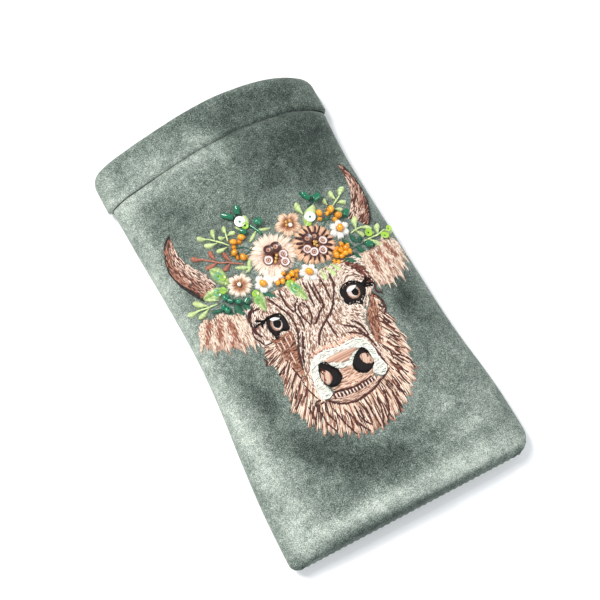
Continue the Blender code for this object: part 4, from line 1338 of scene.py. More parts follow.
def face():
    """The face with its forelock: hair combed over it, and the dark lines that part it."""
    head = Work("face", "thread_pink", "face")
    holes = [oval(LEFT_EYE, 3.2, 3.2), oval(RIGHT_EYE, 3.9, 3.4)]
    fill(head, FACE, FACE_MARKS,
         ([(246, 231, 217), (234, 215, 199), (210, 184, 166), (160, 118, 98)],
          [5, 4, 2.4, 0.7]), 1.9, 0.34, holes, under=(142, 106, 88), across=2, layers=1.65,
         sway=0.22, rough=0.2)
    band = [(-11, -19.9), (-8.5, -18.4), (-4, -17.9), (0, -18.8), (5, -18.6), (9, -18.9),
            (11.6, -21.2), (9, -20.7), (5, -20.5), (0, -20.8), (-4, -19.7), (-9, -20.2)]
    lines = strokes(band, combed([(0, -19, 80)]), 1.8, 0.3, (), 2.0)
    head.add(lines, varied((232, 188, 164), len(lines), 6), 0.2, 0.42, 0.1)
    dark_lines(head, [[(-10.5, -20.3), (-7, -19.7), (-4, -19.6), (0, -20.6), (5, -20.5),
                       (9, -20.8), (11.6, -22.6)]], (176, 122, 98), 0.2, 0.4)
    dark_lines(head, [
        [(-14.2, 7.6), (-12.2, 3.2), (-10.4, -1), (-9.7, -6), (-10.5, -10), (-13, -15),
         (-14.5, -20), (-15.1, -23.4)],
        [(-8.4, -9.8), (-10.8, -14.6), (-12.8, -18.4), (-13.6, -21)],
        [(-9, 8.6), (-9.3, 4), (-8.7, 0), (-7.5, -1.8)],
        [(-7.5, -1.8), (-6, 0.4), (-4.2, 2.2)],
        [(-7.4, -2), (-6.9, -5), (-7.3, -9)],
        [(-3.5, 0.6), (-2.5, -2), (-2.4, -5.6), (-4, -8.9)],
        [(-3.7, 0.2), (-5.6, -1), (-5.9, -3.6), (-5.2, -7), (-4.6, -8.8)],
        [(0.2, 7.2), (0.7, 3), (0.3, 0), (0.3, -3.4)],
        [(2.5, 6.2), (2.4, 1), (2.5, -3.6)],
        [(3.8, 5.4), (3.8, 0), (3.2, -4.3), (0.6, -6.4), (-3, -9.6)],
        [(7, 5.6), (7.2, 2), (6.8, -4)],
        [(11.2, 6), (10.6, 1), (8.4, -3.2), (5.2, -7.2), (1.6, -9.8), (-2, -12.5),
         (-4.4, -15.3), (-5.2, -17.2)],
        [(1.6, -9.8), (2, -14), (2.3, -17.4)],
        [(9.4, -13.8), (12, -16.5), (13, -20), (13, -22.4)],
        [(6.5, -14.6), (10, -17.4), (12, -21), (12.8, -23.4)],
        [(7, -18), (10, -20), (12.4, -23), (13.6, -27.6)],
        [(12.9, -27.6), (13.3, -32), (14, -36)],
        [(-19, 5.4), (-22, 5.4), (-24.2, 2.4), (-24.6, -1.4), (-23, -4.8)],
        [(-20.8, 6.9), (-23.2, 5.4), (-25, 1.6)],
        [(-25.4, -1), (-25.3, -4), (-23.8, -6.8), (-23.2, -8)],
        [(-23.4, 1.4), (-23.8, -2.6), (-22.4, -5)],
        [(22.4, -8), (24.4, -12), (24.1, -15.8), (22.2, -18)],
        [(25.2, -5.2), (24.4, -8), (26.4, -9.8)],
    ], radius=0.4, lift=0.6)
    fill(head, closed([(18.2, 7.2), (21, 6.2), (24.2, 3.4), (25.4, 0.4), (25.4, -3),
                       (24.8, -5.6), (23.4, -5.6), (23, -3), (22.6, -0.8), (21.4, 1.6),
                       (19.8, 4), (18.6, 5.8)]),
         [(20, 6, -30), (24, 2, -50), (24.6, -3, -88)],
         ([(98, 38, 20), (124, 56, 34), (70, 22, 12)], [4, 1.4, 1.2]), 3, 0.32, lift=0.72,
         under=(80, 28, 16), layers=1.6)
    for line in ([(19.6, 6.2), (22.6, 2.8), (23.9, -1)], [(21.6, 5.4), (24, 1.6), (24.8, -2)]):
        dark_lines(head, [line], (150, 84, 60), 0.18, 0.66)
    head.build()


def cheeks():
    umber = (112, 52, 34)
    for name, outline, marks, streaks in (
        ("left_cheek", CHEEK_LEFT, [(-16, -10, 4), (-17, -22, 8)],
         [([[(-15.3, -8.6), (-15.5, -13.4)], [(-17.4, -9), (-17.5, -13.4)],
            [(-13.4, -8.4), (-13.8, -11.6)], [(-19.2, -9.4), (-18.9, -13)],
            [(-16.4, -15), (-16.6, -20)]], (226, 200, 184), 0.26, 0.62),
          ([[(-20.2, -9.6), (-19.6, -14), (-18.6, -19), (-17.6, -24), (-17, -27)]],
           umber, 0.22, 0.5)]),
        ("right_cheek", CHEEK_RIGHT, [(20, -12, 66), (16, -20, 78), (16, -26, 88)],
         [([[(20.2, -9.8), (20.8, -13), (20.8, -16)], [(17, -16), (16.8, -20), (16.9, -24)]],
           umber, 0.22, 0.5),
          ([[(19.2, -13), (18.4, -17)], [(16, -18), (15.6, -23)],
            [(18.4, -19), (18, -23)]], (216, 168, 146), 0.2, 0.48)]),
    ):
        work = Work(name, "thread_brown", name)
        fill(work, closed(outline), marks,
             ([(174, 124, 98), (156, 104, 80), (194, 152, 128), (98, 50, 34)],
              [5, 3, 1.2, 1.5]), 2.0, 0.34, under=(112, 66, 50), across=4, layers=1.8,
             lift=0.46, rough=0.18)
        for lines, colour, radius, lift in streaks:
            dark_lines(work, lines, colour, radius, lift)
        work.build()


def muzzle():
    """The white surround of the nose."""
    work = Work("muzzle", "thread_white", "muzzle_surround")
    fill(work, [(-14.6, -36.2), (-14.2, -30), (-13.2, -25), (-11.3, -21.8), (-8.8, -20.4),
                (-4, -20.1), (0, -21.1), (5, -20.9), (8.8, -21.2), (11.2, -23.2),
                (12.6, -27), (12.9, -32), (13.8, -36.2), (10.6, -38.6), (9.2, -37.4),
                (7.8, -35.6), (9.2, -32), (9.6, -28), (8.4, -25.2), (5, -26.8), (3, -29.2),
                (1.2, -29.4), (-1, -29.3), (-3.4, -28.6), (-5.6, -26.6), (-8.4, -24),
                (-10.2, -26), (-10.6, -30), (-10, -33), (-9.2, -36), (-11.4, -37)],
         [(-12, -33, 4), (-13, -27, 14), (-11, -23, 38), (-6, -22, 8), (0, -22.5, -2),
          (6, -22.5, -6), (10.5, -24, -38), (11.4, -28, -10), (11.4, -34, -4), (0, -28, 0)],
         ([(240, 240, 230), (228, 228, 217), (212, 210, 198)], [6, 3, 1]), 2.0, 0.3,
         lift=0.5, under=(206, 202, 190), across=86, layers=2.2, sway=0.08)
    dark_lines(work, MUZZLE_RIMS, (238, 238, 228), 0.28, 0.62)
    dark_lines(work, [[(-6, -23.7), (-2, -23.2), (3, -23.4), (7, -24.4)],
                      [(-9, -22.6), (-6, -22.1)]], (206, 202, 192), 0.13, 0.66)
    work.build()


def nose():
    work = Work("nose", "thread_pink", "nose_pad")
    fill(work, [(-9.4, -33.6), (-6, -31), (-4, -29), (-1, -29.2), (3, -29.2), (5, -31),
                (8.6, -33.8), (8.2, -36.4), (4, -37.1), (0, -37.3), (-4, -37),
                (-9, -35.9)],
         [(0, -30, 0), (0, -36, 0), (-8, -35, -10), (8, -35, 12)],
         ([(224, 188, 164), (206, 166, 142), (238, 210, 190)], [4, 2.4, 2]), 3.2, 0.34,
         lift=0.36, under=(160, 116, 98), layers=1.9, sway=0.06)
    lens = [(-7.6, -24), (-4, -23.3), (0, -23.2), (4, -23.6), (7.6, -24.7), (4.4, -25.8),
            (2.4, -26.9), (-1.4, -26.8), (-4.2, -25.6)]
    lines = rows_in([closed(lens)], 1, 0.26, 11)
    paint = mixed([(204, 166, 144), (182, 136, 114), (226, 196, 176)], [3, 3, 1], len(lines), 6)
    work.add(lines, paint, 0.22, 0.82, 0.1, sink=0.3)
    work.build()


def nostrils():
    """Each nostril: a dark crescent around a pale oval, with short dark hatching."""
    for name, crescent, oval_at, hatch in (
        ("left_nostril", [(-9.2, -24), (-7.2, -24.1), (-5.2, -26.6), (-3.7, -28.8),
                          (-3.5, -31), (-4.6, -33), (-6.6, -33.9), (-9, -33.3),
                          (-10.4, -31.6), (-10.8, -28.6), (-10.2, -26)],
         ((-8.9, -29.3), 2.1, 3.5, -10),
         [[(-10, -26.4), (-9.2, -29)], [(-9.6, -25.4), (-8.2, -28)], [(-10.3, -29), (-9.6, -31)]]),
        ("right_nostril", [(8.8, -25.2), (7.4, -25.6), (4.8, -27.2), (2.8, -29.3),
                           (2.2, -31), (3, -33), (5.2, -34.4), (7.6, -34.1),
                           (9.4, -32.8), (9.9, -29.6), (9.6, -27)],
         ((8.0, -30), 2.1, 3.1, 8),
         [[(9, -27.6), (9, -29.6)], [(8.4, -31.6), (9.6, -31)], [(7.2, -31.8), (8.6, -32.4)],
          [(9.4, -28.6), (8.4, -29.8)]]),
    ):
        work = Work(name, "thread_black", name)
        lines = rows_in([closed(crescent)], 50, 0.25, 9)
        work.add(lines, varied((22, 17, 17), len(lines), 4), 0.24, 0.7, 0.1, sink=0.3)
        dark_lines(work, [[*crescent, crescent[0]]], BLACK, 0.28, 0.66)
        lines = rows_in([oval(*oval_at)], 70, 0.3, 7)
        work.add(lines, mixed([(206, 174, 154), (166, 118, 98), (226, 202, 186)], [4, 2, 2],
                              len(lines)), 0.2, 0.94, 0.14, sink=0.4)
        dark_lines(work, hatch, (88, 36, 24), 0.2, 1.1)
        work.build()


def mouth():
    """The lower lip, with the hatched line of the mouth over it."""
    work = Work("mouth", "thread_pink", "lower_lip")
    fill(work, [(-11.6, -37.2), (-9.4, -36), (-4, -37), (0, -37.3), (4, -37), (7.4, -36.4),
                (9.4, -37.6), (10.4, -38.6), (8, -39.8), (4, -41.4), (-2, -42.4),
                (-5, -41.9), (-10, -39.9)],
         [(0, -39, 4), (-9, -38, -20), (8, -39, 24)],
         ([(226, 196, 176), (208, 172, 150), (188, 146, 126)], [4, 3, 1]), 2.6, 0.34,
         lift=0.36, under=(150, 112, 96), layers=1.9)
    dark_lines(work, [[(-10, -36), (-7, -36.1), (-4, -36.9), (0, -37.3), (4, -37),
                       (6.8, -36.4)]], DARK, 0.36, 0.6)
    for at in np.linspace(-9.4, 6.6, 13):
        top = -36.2 - 1.1 * (1 - (at / 9) ** 2)
        dark_lines(work, [[(at, top), (at + 0.1, top - 2.1)]], DARK, 0.34, 0.6)
        dark_lines(work, [[(at + 0.66, top - 0.3), (at + 0.7, top - 1.9)]], (244, 228, 214),
                   0.26, 0.52)
    dark_lines(work, [[(-12.4, -37), (-11, -39), (-8, -41), (-5, -42), (-2, -42.5), (1, -42.1),
                       (4, -41.5), (7, -40.4), (9.4, -38.8)],
                      [(9.4, -39.2), (12, -38.1), (14.8, -36.6)],
                      [(-17, -39.4), (-16, -37.9), (-13.4, -37.4)]], DARK, 0.42, 0.5)
    work.build()


def eyes():
    eye("left_eye",
        [(-18.7, 0.2), (-16, 0.9), (-13.4, 0.4), (-12.4, -1), (-12.2, -4), (-12.5, -6.8),
         (-14.2, -6.7), (-15.6, -5.7), (-16.8, -6.7), (-17.8, -8.1), (-18.7, -6),
         (-19.1, -2.4)],
        [((-15.9, -3.1), 2.75, 2.5, (162, 122, 102), 0.82),
         ((-15.7, -3.2), 2.3, 2.15, (214, 200, 190), 0.9),
         ((-15.6, -3), 1.75, 1.7, BLACK, 1.08)],
        ((-17.2, -0.5), (-13.9, -1.7), 0.7),
        [[(-23.6, -0.3), (-21.4, 0), (-19.2, -0.4)], [(-22.2, 1.9), (-20.4, 0.6), (-18.8, 0)],
         [(-21.2, -1.6), (-20.2, -0.2), (-19, 0.2)], [(-20.6, -0.8), (-18.4, 0.6), (-15.6, 1)]])
    eye("right_eye",
        [(11.3, -4.4), (11.7, -2.2), (13.6, -0.9), (16.2, -0.6), (18.8, -1.5), (20.5, -3.4),
         (20.7, -5.4), (19.6, -7.4), (17.9, -8.8), (16.6, -10.4), (15.4, -9.2), (13.6, -8.6),
         (12.6, -8.6), (11.5, -7.2)],
        [((16, -4.8), 3.4, 2.7, (168, 130, 108), 0.82),
         ((15.9, -4.7), 2.8, 2.25, (216, 202, 192), 0.9),
         ((16.4, -5), 1.75, 1.6, BLACK, 1.08)],
        ((13.6, -3.7), (17.9, -3), 0.85),
        [[(20.4, -3.8), (22.6, -4.1), (25, -4.6)], [(20.4, -3.4), (22, -2.6), (23.6, -1.4)],
         [(20, -4.6), (22.4, -5), (24.4, -5.6)], [(21, -3.4), (22.8, -3), (24.6, -2.8)]])


# Where the beard starts, from ear to ear, and the tips of its locks
BEARD_ROOT = [(-19.6, -9), (-18.4, -14), (-17.2, -19), (-15.6, -26), (-14.4, -33), (-13.2, -36.4),
              (-9, -40), (-4, -41.8), (0, -41.9), (5, -41), (10, -38.9), (13.6, -36.2),
              (13.9, -31), (15.6, -25.8), (18.6, -20), (21.4, -14), (22.2, -10)]
BEARD_TIPS = [(-24.6, -8), (-25.6, -11.4), (-26.4, -15.6), (-24.4, -18), (-24.6, -20.8),
              (-24.4, -24.4), (-26.4, -28.3), (-25.4, -31), (-27, -35.6), (-24.6, -39.4),
              (-24, -43.4), (-21.4, -46), (-20, -48.8), (-17, -50.2), (-14.4, -52.2),
              (-11.6, -53), (-8.8, -55.4), (-5.6, -55.6), (-3.4, -57), (-1.4, -55.8),
              (1, -57), (3, -55.8), (6.4, -55.8), (8.6, -54.6), (10.8, -54.2), (13.6, -52),
              (17, -50.2), (19, -47.6), (21.4, -46), (22.4, -43.6), (24.2, -42), (24, -38.4),
              (25.8, -34.6), (25.2, -32.4), (26.6, -30), (25, -26.4), (25.6, -22),
              (23.6, -19.6), (24, -16.4), (23.8, -12.6)]


def beard():
    """Hair that hangs from the jaw in pointed locks, with darker threads between them."""
    work = Work("beard", "thread_pink", "beard")
    fringe = spiky(BEARD_TIPS, BEARD_ROOT, 0.14)
    outline = np.concatenate([np.array(BEARD_ROOT), fringe[::-1]])
    ground(work, [outline], (170, 122, 102))
    palette = [(244, 224, 204), (232, 204, 182), (208, 172, 148), (160, 108, 84)]
    locks = curtain(BEARD_ROOT, fringe, 310, 5, 7, 0.34, 0.03)
    work.add(locks, mixed(palette, [4.2, 3.6, 2.4, 0.9], len(locks), 8), 0.2,
             0.34 + RNG.uniform(-0.14, 0.2, len(locks)), 0.14)
    # threads of the darkest brown, most of them along the locks of the chin
    roots, tips = spread_rows(BEARD_ROOT, 400), spread_rows(fringe, 400)
    lines, colours = [], []
    for at in np.concatenate([np.arange(2, 398, 4.5)] * 2):
        s = np.clip(at + RNG.normal(0, 1.6), 0, 399)
        a, b = roots[int(s)], tips[int(s)]
        reach = np.hypot(*(b - a))
        start = RNG.uniform(0.0, 0.6)
        stop = min(start + RNG.uniform(3.6, 8.0) / max(reach, 1), 0.95)
        bend = RNG.normal(0, 0.04)
        side = np.array([-(b - a)[1], (b - a)[0]])
        t = np.linspace(start, stop, 10)[:, None]
        lines.append(a + (b - a) * t + side * bend * np.sin(pi * t))
        colours.append((70, 22, 12) if RNG.random() < 0.8 else (124, 66, 46))
    work.add(np.array(lines), np.array(colours), RNG.uniform(0.16, 0.26, len(lines)), 0.6,
             0.1, sink=0.5)
    dark_lines(work, [
        [(-5, -43.4), (-4.8, -47.4), (-4, -50.6), (-1.8, -53.4)],
        [(-2.4, -43.2), (-1.8, -47), (-1.6, -50.4), (-2, -53)],
        [(0, -42.8), (0.3, -47), (0.2, -51), (0.6, -55)],
        [(5, -42.4), (4.4, -47), (3.4, -51), (1.4, -55.4)],
        [(8.2, -41.2), (7.8, -46), (6.4, -50.4), (3.4, -54.8)],
        [(10, -41), (10.6, -45.6), (10.4, -50.4), (9.6, -54)],
        [(-8.6, -43), (-7.4, -47), (-6.2, -51), (-3.6, -54.8)],
        [(-12.6, -40.4), (-11.6, -45), (-10.4, -49.4), (-8.8, -53.6)],
        [(-15, -40), (-14.6, -43), (-13.6, -46.4)], [(-17, -40), (-16.6, -45), (-14.8, -49.6)],
        [(13.4, -39.4), (14, -43), (13.6, -47)], [(11.2, -40.4), (11.8, -43.8)],
        [(17.2, -32.4), (20.4, -34.6), (22.6, -37.6), (23, -41)],
        [(15.8, -27.6), (17.4, -31), (17, -35)], [(17.4, -36), (18.6, -40)],
        [(-17.6, -28), (-16.6, -32), (-15.4, -35.4)], [(-20, -36), (-20, -41), (-20.4, -44)],
        [(-24.6, -35), (-21.6, -33), (-19.6, -30.8)], [(-23, -31.4), (-20.6, -28.4)],
        [(-24, -20.6), (-20.4, -18.8)], [(-26.4, -15.6), (-25.6, -14), (-26, -12.6)],
        [(-18.6, -20), (-17.6, -24.6), (-17.2, -28)], [(20, -20.4), (23, -21.6)],
        [(18.4, -27), (21.4, -26.6), (24, -28.4)], [(18, -29), (21, -31), (23.4, -33)],
        [(-14.4, -36.4), (-15.8, -36), (-17.6, -37.8)], [(16.4, -38), (16.8, -43)],
    ], (68, 17, 8), 0.34, 0.66)
    work.build()


# ------------------------------------------------------------------ beads and sequins


class Trim:
    """Beads, sequins and their threads of one CAD node, made into one mesh."""

    def __init__(self, name, slot, *nodes):
        self.name, self.slot, self.nodes = name, slot, nodes
        self.points, self.faces, self.colours = [], [], []
        self.size = 0

    def turned(self, at, profile, colour, lift, lean, sides=24):
        """A turned piece: profile is (radius, height) pairs, closed into a ring, and lean
        is the way its axis points, in which (0, 0, 1) is straight out of the velvet."""
        place, normal = seated(np.array([at[0]], float), np.array([at[1]], float),
                               np.array([float(lift)]))
        normal = normal[0]
        side = np.cross((0, 1, 0), normal)
        side /= np.linalg.norm(side)
        ahead = np.cross(normal, side)
        axis = side * lean[0] + ahead * lean[1] + normal * lean[2]
        axis /= np.linalg.norm(axis)
        first = np.cross(axis, side if abs(lean[0]) < 0.8 else ahead)
        first /= np.linalg.norm(first)
        second = np.cross(axis, first)
        turn = np.linspace(0, 2 * pi, sides, endpoint=False)
        profile = np.asarray(profile, float)
        ring = (first * np.cos(turn)[:, None] + second * np.sin(turn)[:, None])
        points = (place[0] + profile[:, 0, None, None] * ring[None]
                  + profile[:, 1, None, None] * axis)
        rows = len(profile)
        index = self.size + np.arange(rows * sides).reshape(rows, sides)
        above = np.roll(index, -1, axis=0)
        faces = np.stack([index, np.roll(index, -1, 1), np.roll(above, -1, 1), above], -1)
        self.points.append(points.reshape(-1, 3))
        self.faces += faces.reshape(-1, 4).tolist()
        self.colours.append(np.broadcast_to(np.array(colour, float), (rows * sides, 3)))
        self.size += rows * sides

    def build(self):
        obj = make_mesh(piece_name(self.name, self.nodes), np.concatenate(self.points),
                        self.faces, self.slot)
        paint_points(obj, self.colours)
        finish_piece(obj, "front", *self.nodes)


BEAD_LEAN = (0.3, -0.4, 0.8)  # way in which the hole of a single small bead points


def bead_profile(radius, hole=0.26, flat=0.82, half=None):
    """Section of a bead around its hole; half is half the length of a bugle bead."""
    if half is None:
        t = np.linspace(-1.15, 1.15, 13)
        outer = np.stack([radius * np.cos(t), radius * flat * np.sin(t)], -1)
        top = outer[-1, 1]
    else:
        t = np.linspace(-pi / 2, 0, 5)
        low = np.stack([radius * 0.72 + radius * 0.28 * np.cos(t),
                        -half + radius * 0.3 + radius * 0.3 * np.sin(t)], -1)
        outer = np.concatenate([low, low[::-1] * (1, -1)])
        top = half
    bore = [(hole * radius, top * 0.9), (hole * radius, -top * 0.9)]
    return np.concatenate([outer, bore])


def sequin_profile(radius, hole, cup):
    """A cupped disc with a hole in its middle."""
    t = np.linspace(hole, radius, 6)
    rise = cup * (t / radius) ** 2
    upper = np.stack([t, rise + 0.07], -1)
    lower = np.stack([t, rise - 0.07], -1)[::-1]
    return np.concatenate([upper, lower])


def amber_beads(name, places, knots, *nodes):
    """Round beads at (x, y, radius), each held by loose threads, and knots of thread."""
    trim = Trim(name, "bead_amber", *nodes)
    for x, y, radius in places:
        angle = RNG.uniform(0, pi)
        lean = (cos(angle), sin(angle), 0.15)
        trim.turned((x, y), bead_profile(radius), varied(AMBER, 1, 8)[0], radius * 0.92 + 0.2,
                    lean)
    trim.build()
    thread = Work(name + "_thread", "thread_peach")
    for x, y, radius in places:
        for _ in range(3):
            angle = RNG.uniform(0, 2 * pi)
            dx, dy = cos(angle), sin(angle)
            line = [(x + dx * radius * 0.5, y + dy * radius * 0.5),
                    (x + dx * radius * 1.35, y + dy * radius * 1.35)]
            thread.add(spread_rows(line, 5), (214, 128, 34), 0.2, 0.3, 0.15)
    for x, y in knots:
        for _ in range(14):
            angle = RNG.uniform(0, pi)
            dx, dy = cos(angle) * RNG.uniform(0.8, 1.5), sin(angle) * RNG.uniform(0.8, 1.5)
            line = [(x - dx, y - dy), (x + dx, y + dy)]
            thread.add(spread_rows(line, 7), varied((232, 156, 40), 1, 18)[0], 0.21,
                       0.4, 0.7)
    thread.build()


def green_beads(name, places, *nodes):
    """Bugle and round beads: (x, y, radius, half length, angle), round when half is 0."""
    trim = Trim(name, "bead_green", *nodes)
    thread = Work(name + "_thread", "thread_leaf")
    for x, y, radius, half, angle in places:
        radius, half = radius * 1.15, half * 1.2
        turn = np.radians(angle)
        if half:
            trim.turned((x, y), bead_profile(radius, 0.3, half=half), (8, 112, 78),
                        radius + 0.25, (cos(turn), sin(turn), 0.12))
        else:
            trim.turned((x, y), bead_profile(radius, 0.28), (14, 122, 86), radius + 0.25,
                        (cos(turn) * 0.6, sin(turn) * 0.6, 0.6))
        reach = max(half, radius * 0.8) + 0.9
        line = [(x - cos(turn) * reach, y - sin(turn) * reach),
                (x + cos(turn) * reach, y + sin(turn) * reach)]
        thread.add(spread_rows(line, 7), (26, 88, 66), 0.17, 0.3, radius * 0.6)
    trim.build()
    thread.build()


def ring_sequin(trim, x, y, radius=2.0, lean=0.25):
    """A pearl ring cupped in a brown one, with a loop of thread in its hole."""
    tilt = (RNG.uniform(-lean, lean), RNG.uniform(-lean, lean), 1)
    trim.turned((x, y), sequin_profile(radius, 0.3, 0.3), (110, 58, 46), 1.2, tilt)
    trim.turned((x, y), sequin_profile(radius * 0.82, 0.95, 0.34), (226, 206, 200), 1.45, tilt)
    loop = [(0.5 + 0.24 * cos(a), 0.24 * sin(a) + 0.32) for a in np.linspace(0, 2 * pi, 9)[:-1]]
    trim.turned((x, y), loop, (206, 158, 138), 1.42, tilt, sides=14)


# ------------------------------------------------------------------ the crown of flowers


def blossoms():
    work = Work("blossom_left", "thread_white", "blossom_left")
    flower(work, (-4.6, 21.6), 9.4, 23, (200, 148, 118), (238, 222, 204), 0.3, 0.13, 0.1,
           puff=0.2, lift=0.45, edge=(216, 172, 144), heart=0.42, amount=14)
    flower(work, (-7.8, 15.4), 4.2, 9, (224, 186, 158), (246, 236, 224), 0.2, 0.16, 0.5,
           puff=0.2, lift=0.65, edge=(218, 176, 150), amount=13)
    flower(work, (-4.6, 21.4), 7.4, 19, (166, 110, 84), (240, 220, 202), 0.3, 0.12, 0.25,
           puff=0.2, lift=0.75, edge=(190, 136, 108), heart=0.42, amount=14)
    flower(work, (-4.2, 20.6), 4.6, 9, (104, 56, 42), (156, 104, 84), 0.06, 0.1, 0.0,
           puff=0.2, lift=0.9, amount=14)
    work.build()
    work = Work("blossom_right", "thread_peach", "blossom_right")
    flower(work, (11.8, 18.6), 8.7, 20, (178, 122, 92), (230, 186, 152), 0.3, 0.16, 0.0,
           puff=0.22, lift=0.45, edge=(168, 110, 84), heart=0.4, amount=13)
    flower(work, (11.8, 18.6), 6.6, 20, (138, 82, 60), (212, 166, 136), 0.3, 0.1, 0.0,
           puff=0.22, lift=0.75, edge=(160, 102, 78), heart=0.5, amount=13)
    flower(work, (11.8, 18.2), 4.6, 9, (92, 46, 34), (140, 88, 68), 0.06, 0.1, 0.0,
           puff=0.2, lift=0.9, amount=14)
    rays = []
    for k in range(20):
        angle = 2 * pi * (k + 0.5) / 20 + RNG.uniform(-0.06, 0.06)
        t = np.linspace(3.8, RNG.uniform(6.4, 7.9), 7)
        rays.append(np.stack([11.8 + t * np.cos(angle), 18.6 + t * np.sin(angle)], -1))
    for shift in (-0.16, 0.16):
        work.add(np.array(rays) + shift, varied((58, 20, 14), len(rays), 8), 0.34, 1.08, 0.1)
    work.build()
    work = Work("small_blossom_top", "thread_peach", "small_blossom_top")
    flower(work, (6.6, 30.1), 5.6, 5, (142, 84, 52), (230, 200, 172), 0.1, 0.34, 0.5,
           puff=0.35, lift=0.5, edge=(204, 150, 116), heart=0.42, amount=16)
    middle = rows_in([oval((6.8, 29.9), 2.3, 2.0)], 30, 0.3, 5)
    work.add(middle, varied((140, 88, 48), len(middle), 18), 0.22, 0.95, 0.2)
    work.build()
    work = Work("small_blossom_left", "thread_white", "small_blossom_left")
    flower(work, (-21.1, 16.7), 5.2, 10, (150, 96, 62), (244, 228, 210), 0.1, 0.22, 0.2,
           puff=0.28, lift=0.55, edge=(192, 142, 110), heart=0.4, amount=17)
    work.build()


def daisies():
    for name, centre, outer, petals, turn in (
        ("daisy_left", (-12.9, 13.3), 3.7, 5, 0.55), ("daisy_centre", (4.7, 9.5), 4.0, 6, 0.7),
        ("daisy_right", (23.5, 19.9), 4.3, 6, 0.2),
    ):
        work = Work(name, "thread_white", name)
        flower(work, centre, outer, petals, (206, 198, 182), (238, 237, 231), 0.2, 0.3, turn,
               puff=0.5, lift=0.55, narrow=0.98, amount=12)
        work.build()


def leaves():
    for name, a, b, half, bend in (
        ("leaf_upper_left", (-28.4, 27.4), (-24.4, 19), 2.9, 0.5),
        ("leaf_left", (-35.4, 18.4), (-25.6, 17.4), 2.7, 0.6),
        ("leaf_brow_left", (-17.7, 12.4), (-16.8, 3.4), 2.8, 0.3),
        ("leaf_brow_centre", (-5.4, 10), (-0.8, 0.2), 3.0, 0.6),
    ):
        work = Work(name, "thread_leaf", name)
        satin(work, a, b, half, leaf_form, (192, 212, 148), 0.45, 0.3, bend, amount=14)
        satin(work, a, b, half * 0.5, leaf_form, (146, 180, 100), 0.75, 0.3, bend, amount=12)
        work.build()


def small_leaves():
    """The pale and the dark leaves behind the blossoms, with the stems between them."""
    work = Work("leaves_behind", "thread_leaf")
    for a, b, half in (
        ((-7.4, 40.9), (-7.2, 36.4), 1.5), ((-12.2, 38.4), (-10.4, 35.6), 0.7),
        ((19, 33), (12.4, 26.3), 2.7), ((-9.9, 30.2), (-5.6, 33.2), 0.8),
        ((-5.8, 33.2), (-0.4, 31.8), 0.8), ((-19.6, 23.8), (-14.4, 21.4), 1.0),
        ((-13.2, 24.4), (-15.4, 20), 1.0), ((-16.8, 20.2), (-13.6, 21.2), 0.6),
    ):
        satin(work, a, b, half, leaf_form, PALE_LEAF, 0.45, 0.3)
    for a, b, half in (
        ((-26.2, 10.6), (-25.4, 5.2), 1.9), ((-23.6, 9.4), (-21.2, 6.6), 1.5),
        ((-30.4, 10.2), (-27.8, 7), 1.2), ((-35, 12.6), (-30.4, 11.2), 0.9),
        ((-14.6, 10), (-10.8, 6.4), 1.5), ((22.4, 15.4), (25, 12), 1.1),
        ((26.2, 16), (27.2, 12.6), 1.2), ((29.8, 14.4), (28.2, 11.8), 1.0),
        ((26.2, 10.6), (28.6, 8), 1.2), ((19.6, 8.6), (23, 5.6), 1.3),
        ((23.6, 9), (26, 6), 1.2), ((31.4, 11.6), (33.2, 8.6), 1.1),
        ((16.6, 40), (18.6, 37), 1.0), ((20.2, 35.4), (23.6, 37.2), 1.0),
    ):
        satin(work, a, b, half, leaf_form, (40, 104, 78), 0.4, 0.3, vein=(20, 66, 50))
    dark_lines(work, [
        [(-15.4, 30.4), (-13, 29.6), (-11.6, 28.2)], [(-14.6, 26.4), (-11.6, 27.2), (-9.4, 28)],
        [(17.6, 23), (20.4, 25.2), (23.4, 26.8)], [(18.4, 25.6), (21, 25.8), (23, 24.8)],
        [(24, 11), (27, 11), (30, 11.4)], [(-7.2, 36.4), (-5.6, 33.4), (-4.6, 30.6)],
        [(16.6, 33.2), (18.4, 34), (20.4, 34.6)],
    ], (38, 96, 74), 0.22, 0.4)
    work.build()


